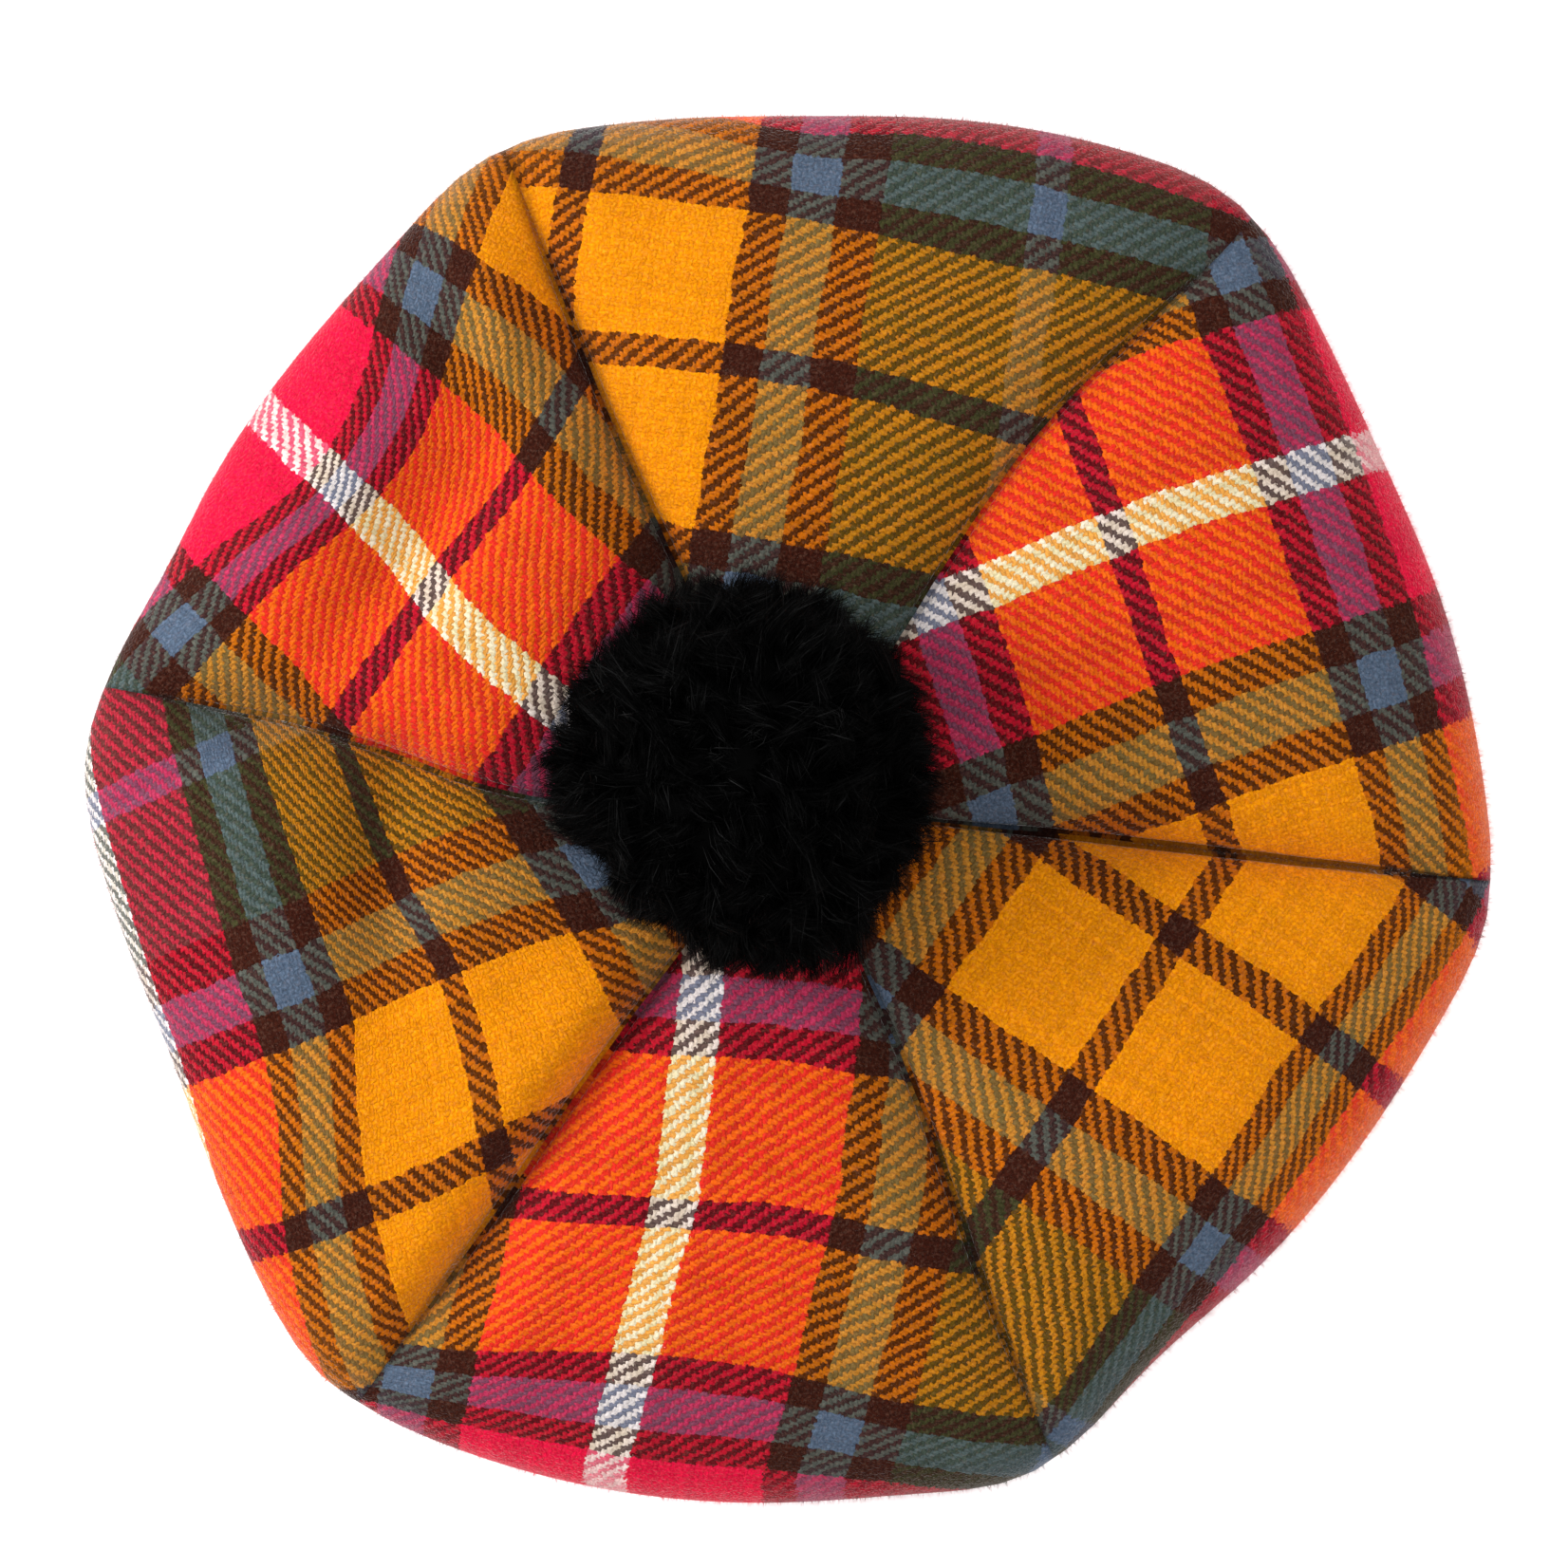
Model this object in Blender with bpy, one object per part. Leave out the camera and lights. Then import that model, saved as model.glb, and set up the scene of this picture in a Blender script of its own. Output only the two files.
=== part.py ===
"""Tam o' shanter: a six-gore wool crown, a head band and a round pompom.

The hat rests on its head band with +Z up. The origin is on the floor under the middle of the
crown, and +Y is the top of the hat as it is seen from above. All lengths are in metres.
"""

import math
import random
from collections import namedtuple

import bmesh
import bpy
from mathutils import Vector

MM = 0.001
UP = Vector((0.0, 0.0, 1.0))

# Cloth and the space left between pieces
CLOTH_THICKNESS = 1.8 * MM
PIECE_GAP = 0.3 * MM

# Head band: a ring of doubled cloth that grips a head of about 560 mm round
BAND_INNER_RADIUS = 88.5 * MM
BAND_WALL = 2.6 * MM
BAND_HEIGHT = 26.0 * MM
BAND_EDGE_ROUNDING = 0.6 * MM
BAND_STEPS = 48

# Crown: a flat, soft disc that swells out past the band
CROWN_CENTRE = Vector((0.5 * MM, 0.4 * MM, 0.0))
CROWN_HEIGHT = 48.0 * MM
CROWN_HOLE_RADIUS = 4.0 * MM
CROWN_FLATNESS = 5.0
RIM_SMOOTHING_DEG = 3.0
UNDERSIDE_DROP = 13.0 * MM
UNDERSIDE_REACH = 22.0 * MM
# The underside ends in a flat lip over the band, from UNDERSIDE_LIP of the way to its inner edge
UNDERSIDE_LIP = 0.93
LIP_WIDTH = 1.7 * BAND_WALL

# Relief of the sewn crown. It fades out at RIM_FADE's power towards the rim.
SEAM_NOTCH = 0.2 * MM
SEAM_TURN_SPREAD = 0.27
SEAM_FADE = (0.05, 0.35)
GORE_SWELL = 4.5 * MM
SWELL_ROUNDNESS = 0.7
SWELL_FADE = (0.05, 0.6)
CENTRE_DIP = 4.0 * MM
CENTRE_DIP_RADIUS = 26.0 * MM
RIM_FADE = 8

# Pompom: cut wool yarn, pushed a little off the crown's centre
POMPOM_CENTRE = Vector((-8.9 * MM, 7.0 * MM, 0.0))
POMPOM_RADIUS = 37.4 * MM
POMPOM_SQUASH = 0.9
POMPOM_SINK = 0.24
SEAT_GAP = 0.6 * MM
SEAT_SOFTNESS = 0.06
TUFT_LENGTH = 5.0 * MM
TUFT_VARIATION = 2.0 * MM
TUFT_BASE_INSET = 0.8 * MM
TUFT_TIP_SCALE = 0.7
TUFT_LEAN = 0.22

# Mesh steps of one gore: across it, out to the rim, and back underneath
STEPS_ACROSS = 12
STEPS_TOP = 15
STEPS_UNDER = 9
SEAM_CROWDING = 0.38
RIM_CROWDING = 1.6
SHARP_ANGLE_DEG = 50.0

# One row for each seam, anticlockwise. It leaves the crown's centre at crown_deg, reaches the rim
# at rim_deg, and changes over where turn_at of the way out is passed. valley is its depth, and
# before and after are how wide it opens into the gores on either side.
Seam = namedtuple("Seam", "crown_deg rim_deg turn_at valley before after")
SEAMS = (
    Seam(-5.5, -6.0, 0.50, 4.5 * MM, 6.0 * MM, 6.0 * MM),
    Seam(57.5, 52.0, 0.72, 3.5 * MM, 9.0 * MM, 7.0 * MM),
    Seam(115.0, 113.5, 0.75, 5.5 * MM, 7.5 * MM, 7.5 * MM),
    Seam(179.0, 170.0, 0.48, 4.5 * MM, 6.0 * MM, 9.0 * MM),
    Seam(233.0, 234.0, 0.50, 6.0 * MM, 4.5 * MM, 7.5 * MM),
    Seam(294.5, 292.0, 0.50, 3.5 * MM, 7.5 * MM, 7.5 * MM),
)

# One row for each side of the rim, anticlockwise, with its corner first. The radius falls from
# the corner to the waist and rises to the next corner, each by its own power.
SIDE_COLUMNS = "corner_deg corner_radius corner_height waist_deg waist_radius waist_height fall rise"
Side = namedtuple("Side", SIDE_COLUMNS)
RIM_SIDES = (
    Side(-8.9, 138.9 * MM, 29.0 * MM, 25.7, 132.9 * MM, 29.0 * MM, 2.7, 1.8),
    Side(53.1, 148.4 * MM, 30.0 * MM, 88.2, 134.5 * MM, 29.0 * MM, 1.3, 1.9),
    Side(114.9, 141.8 * MM, 31.0 * MM, 160.3, 129.2 * MM, 33.0 * MM, 4.0, 0.8),
    Side(176.6, 139.0 * MM, 32.0 * MM, 201.5, 129.3 * MM, 34.0 * MM, 1.6, 1.6),
    Side(230.4, 145.1 * MM, 30.0 * MM, 277.6, 134.9 * MM, 30.0 * MM, 1.9, 1.3),
    Side(290.2, 139.8 * MM, 29.0 * MM, 305.7, 127.7 * MM, 28.0 * MM, 1.4, 3.2),
)
CORNER_WEIGHTS = (1.0, 2.0, 3.0, 2.0, 1.0)

# One row for each soft dent or puff of the crown. Its centre is at deg and radius, its long way
# is turned by turn_deg from straight out, and height is up, or down for a dent.
Fold = namedtuple("Fold", "deg radius turn_deg length width height")
FOLDS = (
    Fold(146.0, 88.0 * MM, 90.0, 30.0 * MM, 10.0 * MM, -6.5 * MM),
    Fold(146.0, 112.0 * MM, 90.0, 32.0 * MM, 12.0 * MM, 3.5 * MM),
    Fold(188.0, 78.0 * MM, 82.0, 24.0 * MM, 8.0 * MM, -6.0 * MM),
    Fold(192.0, 104.0 * MM, 90.0, 34.0 * MM, 15.0 * MM, 4.5 * MM),
    Fold(169.5, 110.0 * MM, 0.0, 16.0 * MM, 7.0 * MM, -4.5 * MM),
    Fold(121.0, 112.0 * MM, -14.0, 14.0 * MM, 5.0 * MM, 3.0 * MM),
    Fold(127.0, 109.0 * MM, -14.0, 14.0 * MM, 5.0 * MM, -3.0 * MM),
    Fold(-6.0, 62.0 * MM, 0.0, 10.0 * MM, 6.0 * MM, -2.5 * MM),
    Fold(-6.0, 124.0 * MM, 0.0, 10.0 * MM, 6.0 * MM, -3.5 * MM),
    Fold(257.0, 96.0 * MM, 80.0, 18.0 * MM, 12.0 * MM, 2.5 * MM),
    Fold(226.5, 76.0 * MM, 4.0, 40.0 * MM, 9.0 * MM, 2.8 * MM),
    Fold(242.0, 94.0 * MM, 0.0, 28.0 * MM, 10.0 * MM, 2.0 * MM),
)

# One row for each place where the pompom's pile stands proud or is pressed in. swell is a share
# of its radius, and it spreads by spread_deg round the pompom's side.
Puff = namedtuple("Puff", "deg spread_deg swell")
PUFFS = (
    Puff(-66.0, 13.0, 0.15),
    Puff(-116.0, 9.0, -0.2),
    Puff(-146.0, 13.0, -0.23),
    Puff(137.0, 14.0, -0.07),
)
PUFF_SHOULDER = 1.4

# Yarn colours of the tartan and the pompom, as seen from afar (linear RGB)
GORE_COLOURS = (
    (0.70, 0.07, 0.03, 1.0),
    (0.55, 0.28, 0.02, 1.0),
    (0.75, 0.10, 0.04, 1.0),
    (0.50, 0.27, 0.03, 1.0),
    (0.68, 0.08, 0.03, 1.0),
    (0.75, 0.33, 0.01, 1.0),
)
BAND_COLOUR = (0.30, 0.08, 0.03, 1.0)
POMPOM_COLOUR = (0.002, 0.002, 0.002, 1.0)
CLOTH_ROUGHNESS = 0.9
YARN_ROUGHNESS = 1.0


def smoothstep(low, high, value):
    """Go from 0 at low to 1 at high along a soft S."""
    share = min(max((value - low) / (high - low), 0.0), 1.0)
    return share * share * (3.0 - 2.0 * share)


def mix(first, second, share):
    """Blend two numbers."""
    return first + (second - first) * share


def heading(degrees):
    """Give the level unit vector that points at this many degrees from +X."""
    angle = math.radians(degrees)
    return Vector((math.cos(angle), math.sin(angle), 0.0))


def seam_degrees(index, fraction):
    """Give a seam's direction at a fraction of the way out. Seam 6 is seam 0, one turn on."""
    turns, row = divmod(index, len(SEAMS))
    seam = SEAMS[row]
    share = smoothstep(seam.turn_at - SEAM_TURN_SPREAD, seam.turn_at + SEAM_TURN_SPREAD, fraction)
    return mix(seam.crown_deg, seam.rim_deg, share) + 360.0 * turns


def rim_at(degrees):
    """Give the rim's bare radius and height in one direction."""
    first = RIM_SIDES[0].corner_deg
    degrees = (degrees - first) % 360.0 + first
    row = max(i for i, side in enumerate(RIM_SIDES) if side.corner_deg <= degrees)
    side = RIM_SIDES[row]
    after = RIM_SIDES[(row + 1) % len(RIM_SIDES)]
    end_deg = after.corner_deg + (360.0 if row + 1 == len(RIM_SIDES) else 0.0)
    if degrees < side.waist_deg:
        share = (side.waist_deg - degrees) / (side.waist_deg - side.corner_deg)
        radius = mix(side.waist_radius, side.corner_radius, share**side.fall)
        height = mix(side.waist_height, side.corner_height, smoothstep(0.0, 1.0, share))
    else:
        share = (degrees - side.waist_deg) / (end_deg - side.waist_deg)
        radius = mix(side.waist_radius, after.corner_radius, share**side.rise)
        height = mix(side.waist_height, after.corner_height, smoothstep(0.0, 1.0, share))
    return radius, height


def soft_rim_at(degrees):
    """Give the rim's radius and height with its corners rounded by averaging nearby directions."""
    middle = len(CORNER_WEIGHTS) // 2
    places = [rim_at(degrees + (i - middle) * RIM_SMOOTHING_DEG) for i in range(len(CORNER_WEIGHTS))]
    total = sum(CORNER_WEIGHTS)
    radius = sum(w * place[0] for w, place in zip(CORNER_WEIGHTS, places)) / total
    height = sum(w * place[1] for w, place in zip(CORNER_WEIGHTS, places)) / total
    return radius, height


def gore_of(degrees, fraction):
    """Give the gore's index and how far across it, from 0 to 1, a direction lies."""
    start = seam_degrees(0, fraction)
    degrees = (degrees - start) % 360.0 + start
    index = max(i for i in range(len(SEAMS)) if seam_degrees(i, fraction) <= degrees)
    low = seam_degrees(index, fraction)
    high = seam_degrees(index + 1, fraction)
    return index, (degrees - low) / (high - low)


def fold_lift(radius, degrees):
    """Add up the dents and puffs at a place of the crown."""
    place = radius * heading(degrees)
    lift = 0.0
    for fold in FOLDS:
        offset = place - fold.radius * heading(fold.deg)
        along = offset.dot(heading(fold.deg + fold.turn_deg)) / fold.length
        across = offset.dot(heading(fold.deg + fold.turn_deg + 90.0)) / fold.width
        lift += fold.height * math.exp(-along * along - across * across)
    return lift


def seam_dip(index, across, radius, fraction):
    """Give how deep the valleys of a gore's two seams are here."""
    span = math.radians(seam_degrees(index + 1, fraction) - seam_degrees(index, fraction)) * radius
    first = SEAMS[index]
    last = SEAMS[(index + 1) % len(SEAMS)]
    dip = first.valley * math.exp(-((across * span / first.after) ** 2))
    dip += last.valley * math.exp(-(((1.0 - across) * span / last.before) ** 2))
    return dip


def crown_lift(radius, degrees, fraction):
    """Give the relief of the crown's top over its plain flat form."""
    index, across = gore_of(degrees, fraction)
    arch = (4.0 * across * (1.0 - across)) ** SWELL_ROUNDNESS
    swell = GORE_SWELL * arch * smoothstep(*SWELL_FADE, fraction)
    dip = seam_dip(index, across, radius, fraction) * smoothstep(*SEAM_FADE, fraction)
    centre = CENTRE_DIP * math.exp(-((radius / CENTRE_DIP_RADIUS) ** 2))
    return swell - dip - centre + fold_lift(radius, degrees)


def crown_top(fraction, degrees):
    """Give a point of the crown's upper side, at a fraction of the way from centre to rim."""
    rim_radius, rim_height = soft_rim_at(degrees)
    index, across = gore_of(degrees, 1.0)
    notch = SEAM_NOTCH / SEAMS[0].valley * seam_dip(index, across, rim_radius, 1.0)
    radius = fraction * (rim_radius - notch)
    flat = math.sqrt(max(1.0 - fraction**CROWN_FLATNESS, 0.0))
    height = rim_height + (CROWN_HEIGHT - rim_height) * flat
    height += crown_lift(radius, degrees, fraction) * (1.0 - fraction**RIM_FADE)
    return CROWN_CENTRE + radius * heading(degrees) + height * UP


def crown_under(share, degrees):
    """Give a point of the crown's underside, from the rim at 0 to the head band at 1."""
    rim = crown_top(1.0, degrees)
    outward = heading(degrees)
    edge = (BAND_INNER_RADIUS + BAND_WALL) * outward + (BAND_HEIGHT + PIECE_GAP) * UP
    fall = rim - UNDERSIDE_DROP * UP
    reach = fall - UNDERSIDE_REACH * outward
    if share > UNDERSIDE_LIP:
        return edge - LIP_WIDTH * (share - UNDERSIDE_LIP) / (1.0 - UNDERSIDE_LIP) * outward
    t = share / UNDERSIDE_LIP
    s = 1.0 - t
    return s**3 * rim + 3.0 * s * s * t * fall + 3.0 * s * t * t * reach + t**3 * edge


def gore_columns():
    """List how far across a gore each column of its mesh stands, closer together at the seams."""
    turns = [k / STEPS_ACROSS for k in range(STEPS_ACROSS + 1)]
    return [k - SEAM_CROWDING * math.sin(2.0 * math.pi * k) / (2.0 * math.pi) for k in turns]


def outer_grid(index):
    """Give the rows of points of a gore's outer side, from the centre to the head band."""
    columns = gore_columns()
    fractions = [1.0 - (1.0 - k / STEPS_TOP) ** RIM_CROWDING for k in range(STEPS_TOP + 1)]
    fractions[0] = CROWN_HOLE_RADIUS / RIM_SIDES[0].waist_radius
    rows = []
    for fraction in fractions:
        low = seam_degrees(index, fraction)
        high = seam_degrees(index + 1, fraction)
        rows.append([crown_top(fraction, mix(low, high, across)) for across in columns])
    shares = [k / STEPS_UNDER * UNDERSIDE_LIP for k in range(1, STEPS_UNDER + 1)] + [1.0]
    for share in shares:
        rows.append([crown_under(share, mix(low, high, across)) for across in columns])
    return rows


def grid_normals(rows, before, after):
    """Give the outward normal at each point, with the neighbouring gores' columns at the seams."""
    normals = []
    for r, row in enumerate(rows):
        line = []
        inner_row = rows[max(r - 1, 0)]
        outer_row = rows[min(r + 1, len(rows) - 1)]
        for c in range(len(row)):
            left = row[c + 1] if c + 1 < len(row) else after[r][1]
            right = row[c - 1] if c > 0 else before[r][-2]
            down = outer_row[c] - inner_row[c]
            line.append(down.cross(left - right).normalized())
        normals.append(line)
    return normals


def add_mesh_object(name, mesh_builder, colour, roughness):
    """Turn a bmesh into an object with its own material."""
    bmesh.ops.recalc_face_normals(mesh_builder, faces=mesh_builder.faces[:])
    mesh = bpy.data.meshes.new(name)
    mesh_builder.to_mesh(mesh)
    mesh_builder.free()
    mesh.shade_smooth()
    mesh.set_sharp_from_angle(angle=math.radians(SHARP_ANGLE_DEG))
    body = bpy.data.objects.new(name, mesh)
    bpy.context.scene.collection.objects.link(body)
    material = bpy.data.materials.new(name + "_wool")
    material.use_nodes = True
    shader = material.node_tree.nodes["Principled BSDF"]
    shader.inputs["Base Color"].default_value = colour
    shader.inputs["Roughness"].default_value = roughness
    shader.inputs["Metallic"].default_value = 0.0
    mesh.materials.append(material)


def cloth_shell(rows, normals):
    """Close a sheet of points into a shell of cloth, thickened inwards."""
    shell = bmesh.new()
    last = len(rows[0]) - 1
    layers = []
    for depth in (0.0, CLOTH_THICKNESS):
        layer = []
        for row, line in zip(rows, normals):
            points = [point - depth * normal for point, normal in zip(row, line)]
            for edge, inward in ((0, 1), (last, last - 1)):
                step = (points[inward] - points[edge]).normalized()
                points[edge] = points[edge] + 0.5 * PIECE_GAP * step
            layer.append([shell.verts.new(point) for point in points])
        layers.append(layer)
    outer, inner = layers
    for r in range(len(rows) - 1):
        for c in range(last):
            shell.faces.new((outer[r][c], outer[r + 1][c], outer[r + 1][c + 1], outer[r][c + 1]))
            shell.faces.new((inner[r][c], inner[r][c + 1], inner[r + 1][c + 1], inner[r + 1][c]))
        shell.faces.new((outer[r][0], inner[r][0], inner[r + 1][0], outer[r + 1][0]))
        shell.faces.new((outer[r][last], outer[r + 1][last], inner[r + 1][last], inner[r][last]))
    for c in range(last):
        shell.faces.new((outer[0][c], outer[0][c + 1], inner[0][c + 1], inner[0][c]))
        shell.faces.new((outer[-1][c], inner[-1][c], inner[-1][c + 1], outer[-1][c + 1]))
    return shell


def build_gores():
    """Make the six crown panels, each from the centre over the rim to the head band."""
    grids = [outer_grid(index) for index in range(len(SEAMS))]
    for index, rows in enumerate(grids):
        before = grids[index - 1]
        after = grids[(index + 1) % len(grids)]
        shell = cloth_shell(rows, grid_normals(rows, before, after))
        add_mesh_object(f"gore_{index + 1}", shell, GORE_COLOURS[index], CLOTH_ROUGHNESS)


def build_head_band():
    """Spin the head band's section round the head opening."""
    inner = BAND_INNER_RADIUS
    outer = BAND_INNER_RADIUS + BAND_WALL
    soft = BAND_EDGE_ROUNDING
    section = (
        (inner + soft, 0.0),
        (outer - soft, 0.0),
        (outer, soft),
        (outer, BAND_HEIGHT),
        (inner, BAND_HEIGHT),
        (inner, soft),
    )
    ring = bmesh.new()
    verts = [ring.verts.new((x, 0.0, z)) for x, z in section]
    edges = [ring.edges.new((verts[i], verts[(i + 1) % len(verts)])) for i in range(len(verts))]
    bmesh.ops.spin(
        ring,
        geom=verts + edges,
        cent=(0.0, 0.0, 0.0),
        axis=(0.0, 0.0, 1.0),
        angle=2.0 * math.pi,
        steps=BAND_STEPS,
        use_merge=True,
    )
    add_mesh_object("head_band", ring, BAND_COLOUR, CLOTH_ROUGHNESS)


def crown_height_under(place):
    """Give the height of the crown's upper side under a point."""
    offset = place - CROWN_CENTRE
    radius = math.hypot(offset.x, offset.y)
    degrees = math.degrees(math.atan2(offset.y, offset.x))
    hole = CROWN_HOLE_RADIUS / RIM_SIDES[0].waist_radius
    return crown_top(max(radius / soft_rim_at(degrees)[0], hole), degrees).z


def pompom_swell(out):
    """Give the pompom's reach in a direction, as a share of its plain radius."""
    degrees = math.degrees(math.atan2(out.y, out.x))
    level = max(1.0 - PUFF_SHOULDER * abs(out.z), 0.0)
    reach = 1.0
    for puff in PUFFS:
        turn = (degrees - puff.deg + 180.0) % 360.0 - 180.0
        reach += puff.swell * level * math.exp(-((turn / puff.spread_deg) ** 2))
    return reach


def build_pompom():
    """Grow a tuft from each face of a ball, and press the ball onto the crown."""
    chance = random.Random(7)
    ball = bmesh.new()
    bmesh.ops.create_icosphere(ball, subdivisions=3, radius=POMPOM_RADIUS - TUFT_LENGTH)
    faces = ball.faces[:]
    bmesh.ops.inset_individual(ball, faces=faces, thickness=TUFT_BASE_INSET)
    for face in faces:
        middle = face.calc_center_median()
        lean = Vector((chance.uniform(-1.0, 1.0), chance.uniform(-1.0, 1.0), chance.uniform(-1.0, 1.0)))
        length = TUFT_LENGTH + TUFT_VARIATION * (chance.random() - 0.5)
        tip = middle + length * (middle.normalized() + TUFT_LEAN * lean).normalized()
        for vert in face.verts:
            vert.co = tip + TUFT_TIP_SCALE * (vert.co - middle)
    seat = crown_height_under(POMPOM_CENTRE)
    middle_height = seat + (1.0 - POMPOM_SINK) * POMPOM_SQUASH * POMPOM_RADIUS
    for vert in ball.verts:
        reach = pompom_swell(vert.co.normalized()) * vert.co
        place = POMPOM_CENTRE + reach
        place.z = middle_height + POMPOM_SQUASH * reach.z
        floor = crown_height_under(place) + SEAT_GAP
        pressed = floor + SEAT_SOFTNESS * max(TUFT_LENGTH - (floor - place.z), 0.0)
        place.z = max(place.z, pressed)
        vert.co = place
    add_mesh_object("pompom", ball, POMPOM_COLOUR, YARN_ROUGHNESS)


def main():
    """Clear the scene and build the hat."""
    for item in list(bpy.data.objects):
        bpy.data.objects.remove(item, do_unlink=True)
    build_gores()
    build_head_band()
    build_pompom()


main()
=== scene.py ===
"""Tam o' shanter: six wool gores in a tartan twill, a head band and a shaggy black pompom."""

import math
from collections import namedtuple

import bpy
import numpy as np
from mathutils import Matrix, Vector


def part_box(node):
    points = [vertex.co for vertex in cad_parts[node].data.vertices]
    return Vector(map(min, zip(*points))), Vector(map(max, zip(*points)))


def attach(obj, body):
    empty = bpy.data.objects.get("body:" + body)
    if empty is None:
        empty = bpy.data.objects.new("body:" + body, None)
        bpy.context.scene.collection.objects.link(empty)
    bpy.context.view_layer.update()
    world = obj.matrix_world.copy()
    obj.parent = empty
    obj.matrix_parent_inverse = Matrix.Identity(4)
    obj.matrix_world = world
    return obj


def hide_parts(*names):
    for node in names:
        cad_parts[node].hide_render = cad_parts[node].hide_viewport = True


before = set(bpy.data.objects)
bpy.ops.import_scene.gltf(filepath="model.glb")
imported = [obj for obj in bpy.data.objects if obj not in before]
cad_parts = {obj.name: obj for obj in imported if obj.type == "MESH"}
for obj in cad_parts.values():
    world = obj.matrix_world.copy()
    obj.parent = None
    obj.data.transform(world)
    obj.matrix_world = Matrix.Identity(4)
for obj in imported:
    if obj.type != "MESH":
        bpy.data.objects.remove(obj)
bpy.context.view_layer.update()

bl_info = {
    "name": "Tam o' Shanter",
    "version": (1, 0, 0),
    "blender": (4, 5, 0),
    "location": "View3D > Sidebar > Tam",
    "description": "Builds a six-gore tartan wool cap with a pompom",
    "category": "Object",
}

MM = 0.001
BODY = "root"
BAND_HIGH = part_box("head_band")[1]

# Crown form, the same named sizes as the solids
CLOTH_THICKNESS = 1.8 * MM
PIECE_GAP = 0.3 * MM
BAND_OUTER_RADIUS = BAND_HIGH.x
BAND_WALL = 2.6 * MM
BAND_INNER_RADIUS = BAND_OUTER_RADIUS - BAND_WALL
BAND_HEIGHT = BAND_HIGH.z
CROWN_CENTRE = np.array((0.5 * MM, 0.4 * MM, 0.0))
CROWN_HEIGHT = 48.0 * MM
CROWN_FLATNESS = 5.0
RIM_SMOOTHING_DEG = 3.0
UNDERSIDE_DROP = 13.0 * MM
UNDERSIDE_REACH = 22.0 * MM
UNDERSIDE_LIP = 0.93
LIP_WIDTH = 1.7 * BAND_WALL
SEAM_NOTCH = 0.2 * MM
SEAM_TURN_SPREAD = 0.27
SEAM_FADE = (0.05, 0.35)
GORE_SWELL = 4.5 * MM
SWELL_ROUNDNESS = 0.7
SWELL_FADE = (0.05, 0.6)
CENTRE_DIP = 4.0 * MM
CENTRE_DIP_RADIUS = 26.0 * MM
RIM_FADE = 8

# Two soft waves of cloth that has been worn and pressed by hand, with their lengths along x and y.
# Their crests sway by sway_x once in every_y, and by sway_y once in every_x.
Wave = namedtuple("Wave", "height length_x sway_x every_y length_y sway_y every_x")
WAVES = (
    Wave(0.22 * MM, 5.3 * MM, 1.7, 9.1 * MM, 6.1 * MM, 1.3, 11.0 * MM),
    Wave(0.12 * MM, 2.9 * MM, 2.0, 4.3 * MM, 3.4 * MM, 0.0, 11.0 * MM),
)
WAVE_FADE = (0.1, 0.4)

# The cloth rolls down into each seam. The groove closes towards the rim and opens again
# underneath, less deep, both as shares of the way.
GROOVE_DEPTH = 1.1 * MM
GROOVE_WIDTH = 0.5 * MM
GROOVE_CLOSES = (0.6, 0.97)
GROOVE_OPENS = (0.1, 0.5)
UNDER_GROOVE = 0.3
ROLL_DEPTH = 0.8 * MM
ROLL_WIDTH = 2.4 * MM

# Mesh rows and columns of a gore, with those round the centre's hole and along the lip
STEPS_ACROSS = 112
STEPS_TOP = 120
STEPS_UNDER = 56
SEAM_CROWDING = 0.86
RIM_CROWDING = 1.6
CROWN_HOLE = 0.03
HOLE_ROWS = (1.0, 1.2, 1.5)
LIP_ROWS = (0.965, 1.0)
WIDEST_RADIUS = 140.0 * MM
SHARP_ANGLE_DEG = 60.0

# One row for each seam, anticlockwise. It leaves the crown's centre at crown_deg, reaches the rim
# at rim_deg, and changes over where turn_at of the way out is passed. valley is its depth, and
# before and after are how wide it opens into the gores on either side.
Seam = namedtuple("Seam", "crown_deg rim_deg turn_at valley before after")
SEAMS = (
    Seam(-5.5, -6.0, 0.50, 4.5 * MM, 6.0 * MM, 6.0 * MM),
    Seam(57.5, 52.0, 0.72, 3.5 * MM, 9.0 * MM, 7.0 * MM),
    Seam(115.0, 113.5, 0.75, 5.5 * MM, 7.5 * MM, 7.5 * MM),
    Seam(179.0, 170.0, 0.48, 4.5 * MM, 6.0 * MM, 9.0 * MM),
    Seam(233.0, 234.0, 0.50, 6.0 * MM, 4.5 * MM, 7.5 * MM),
    Seam(294.5, 292.0, 0.50, 3.5 * MM, 7.5 * MM, 7.5 * MM),
)

# How dark the painted shade in the crease of each seam is, and how wide
CREASE_SHADES = (0.75, 0.15, 0.5, 0.35, 0.35, 0.35)
CREASE_WIDTHS = (0.5 * MM, 0.8 * MM, 1.6 * MM, 0.5 * MM, 0.8 * MM, 1.0 * MM)

# How far in from the rim the nap hides the weave and a painted sheen makes the cloth paler, the side where
# it does so the most, and its share of that on the opposite side
HAZE_WIDTH = 5.0 * MM
HAZE_SIDE_DEG = -20.0
HAZE_LEAST = 0.1

# The nap's fibres: their width, depth of root and spread of lengths, how they lean and stand up,
# and how much longer they are where they hide the weave
NAP_WIDTH = 0.07 * MM
NAP_ROOT = 0.1 * MM
NAP_LENGTHS = (0.5, 1.3)
NAP_LEAN = 0.8
NAP_LIFT = 0.6
NAP_AT_RIM = 0.8
NAP_SEED = 11

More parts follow.
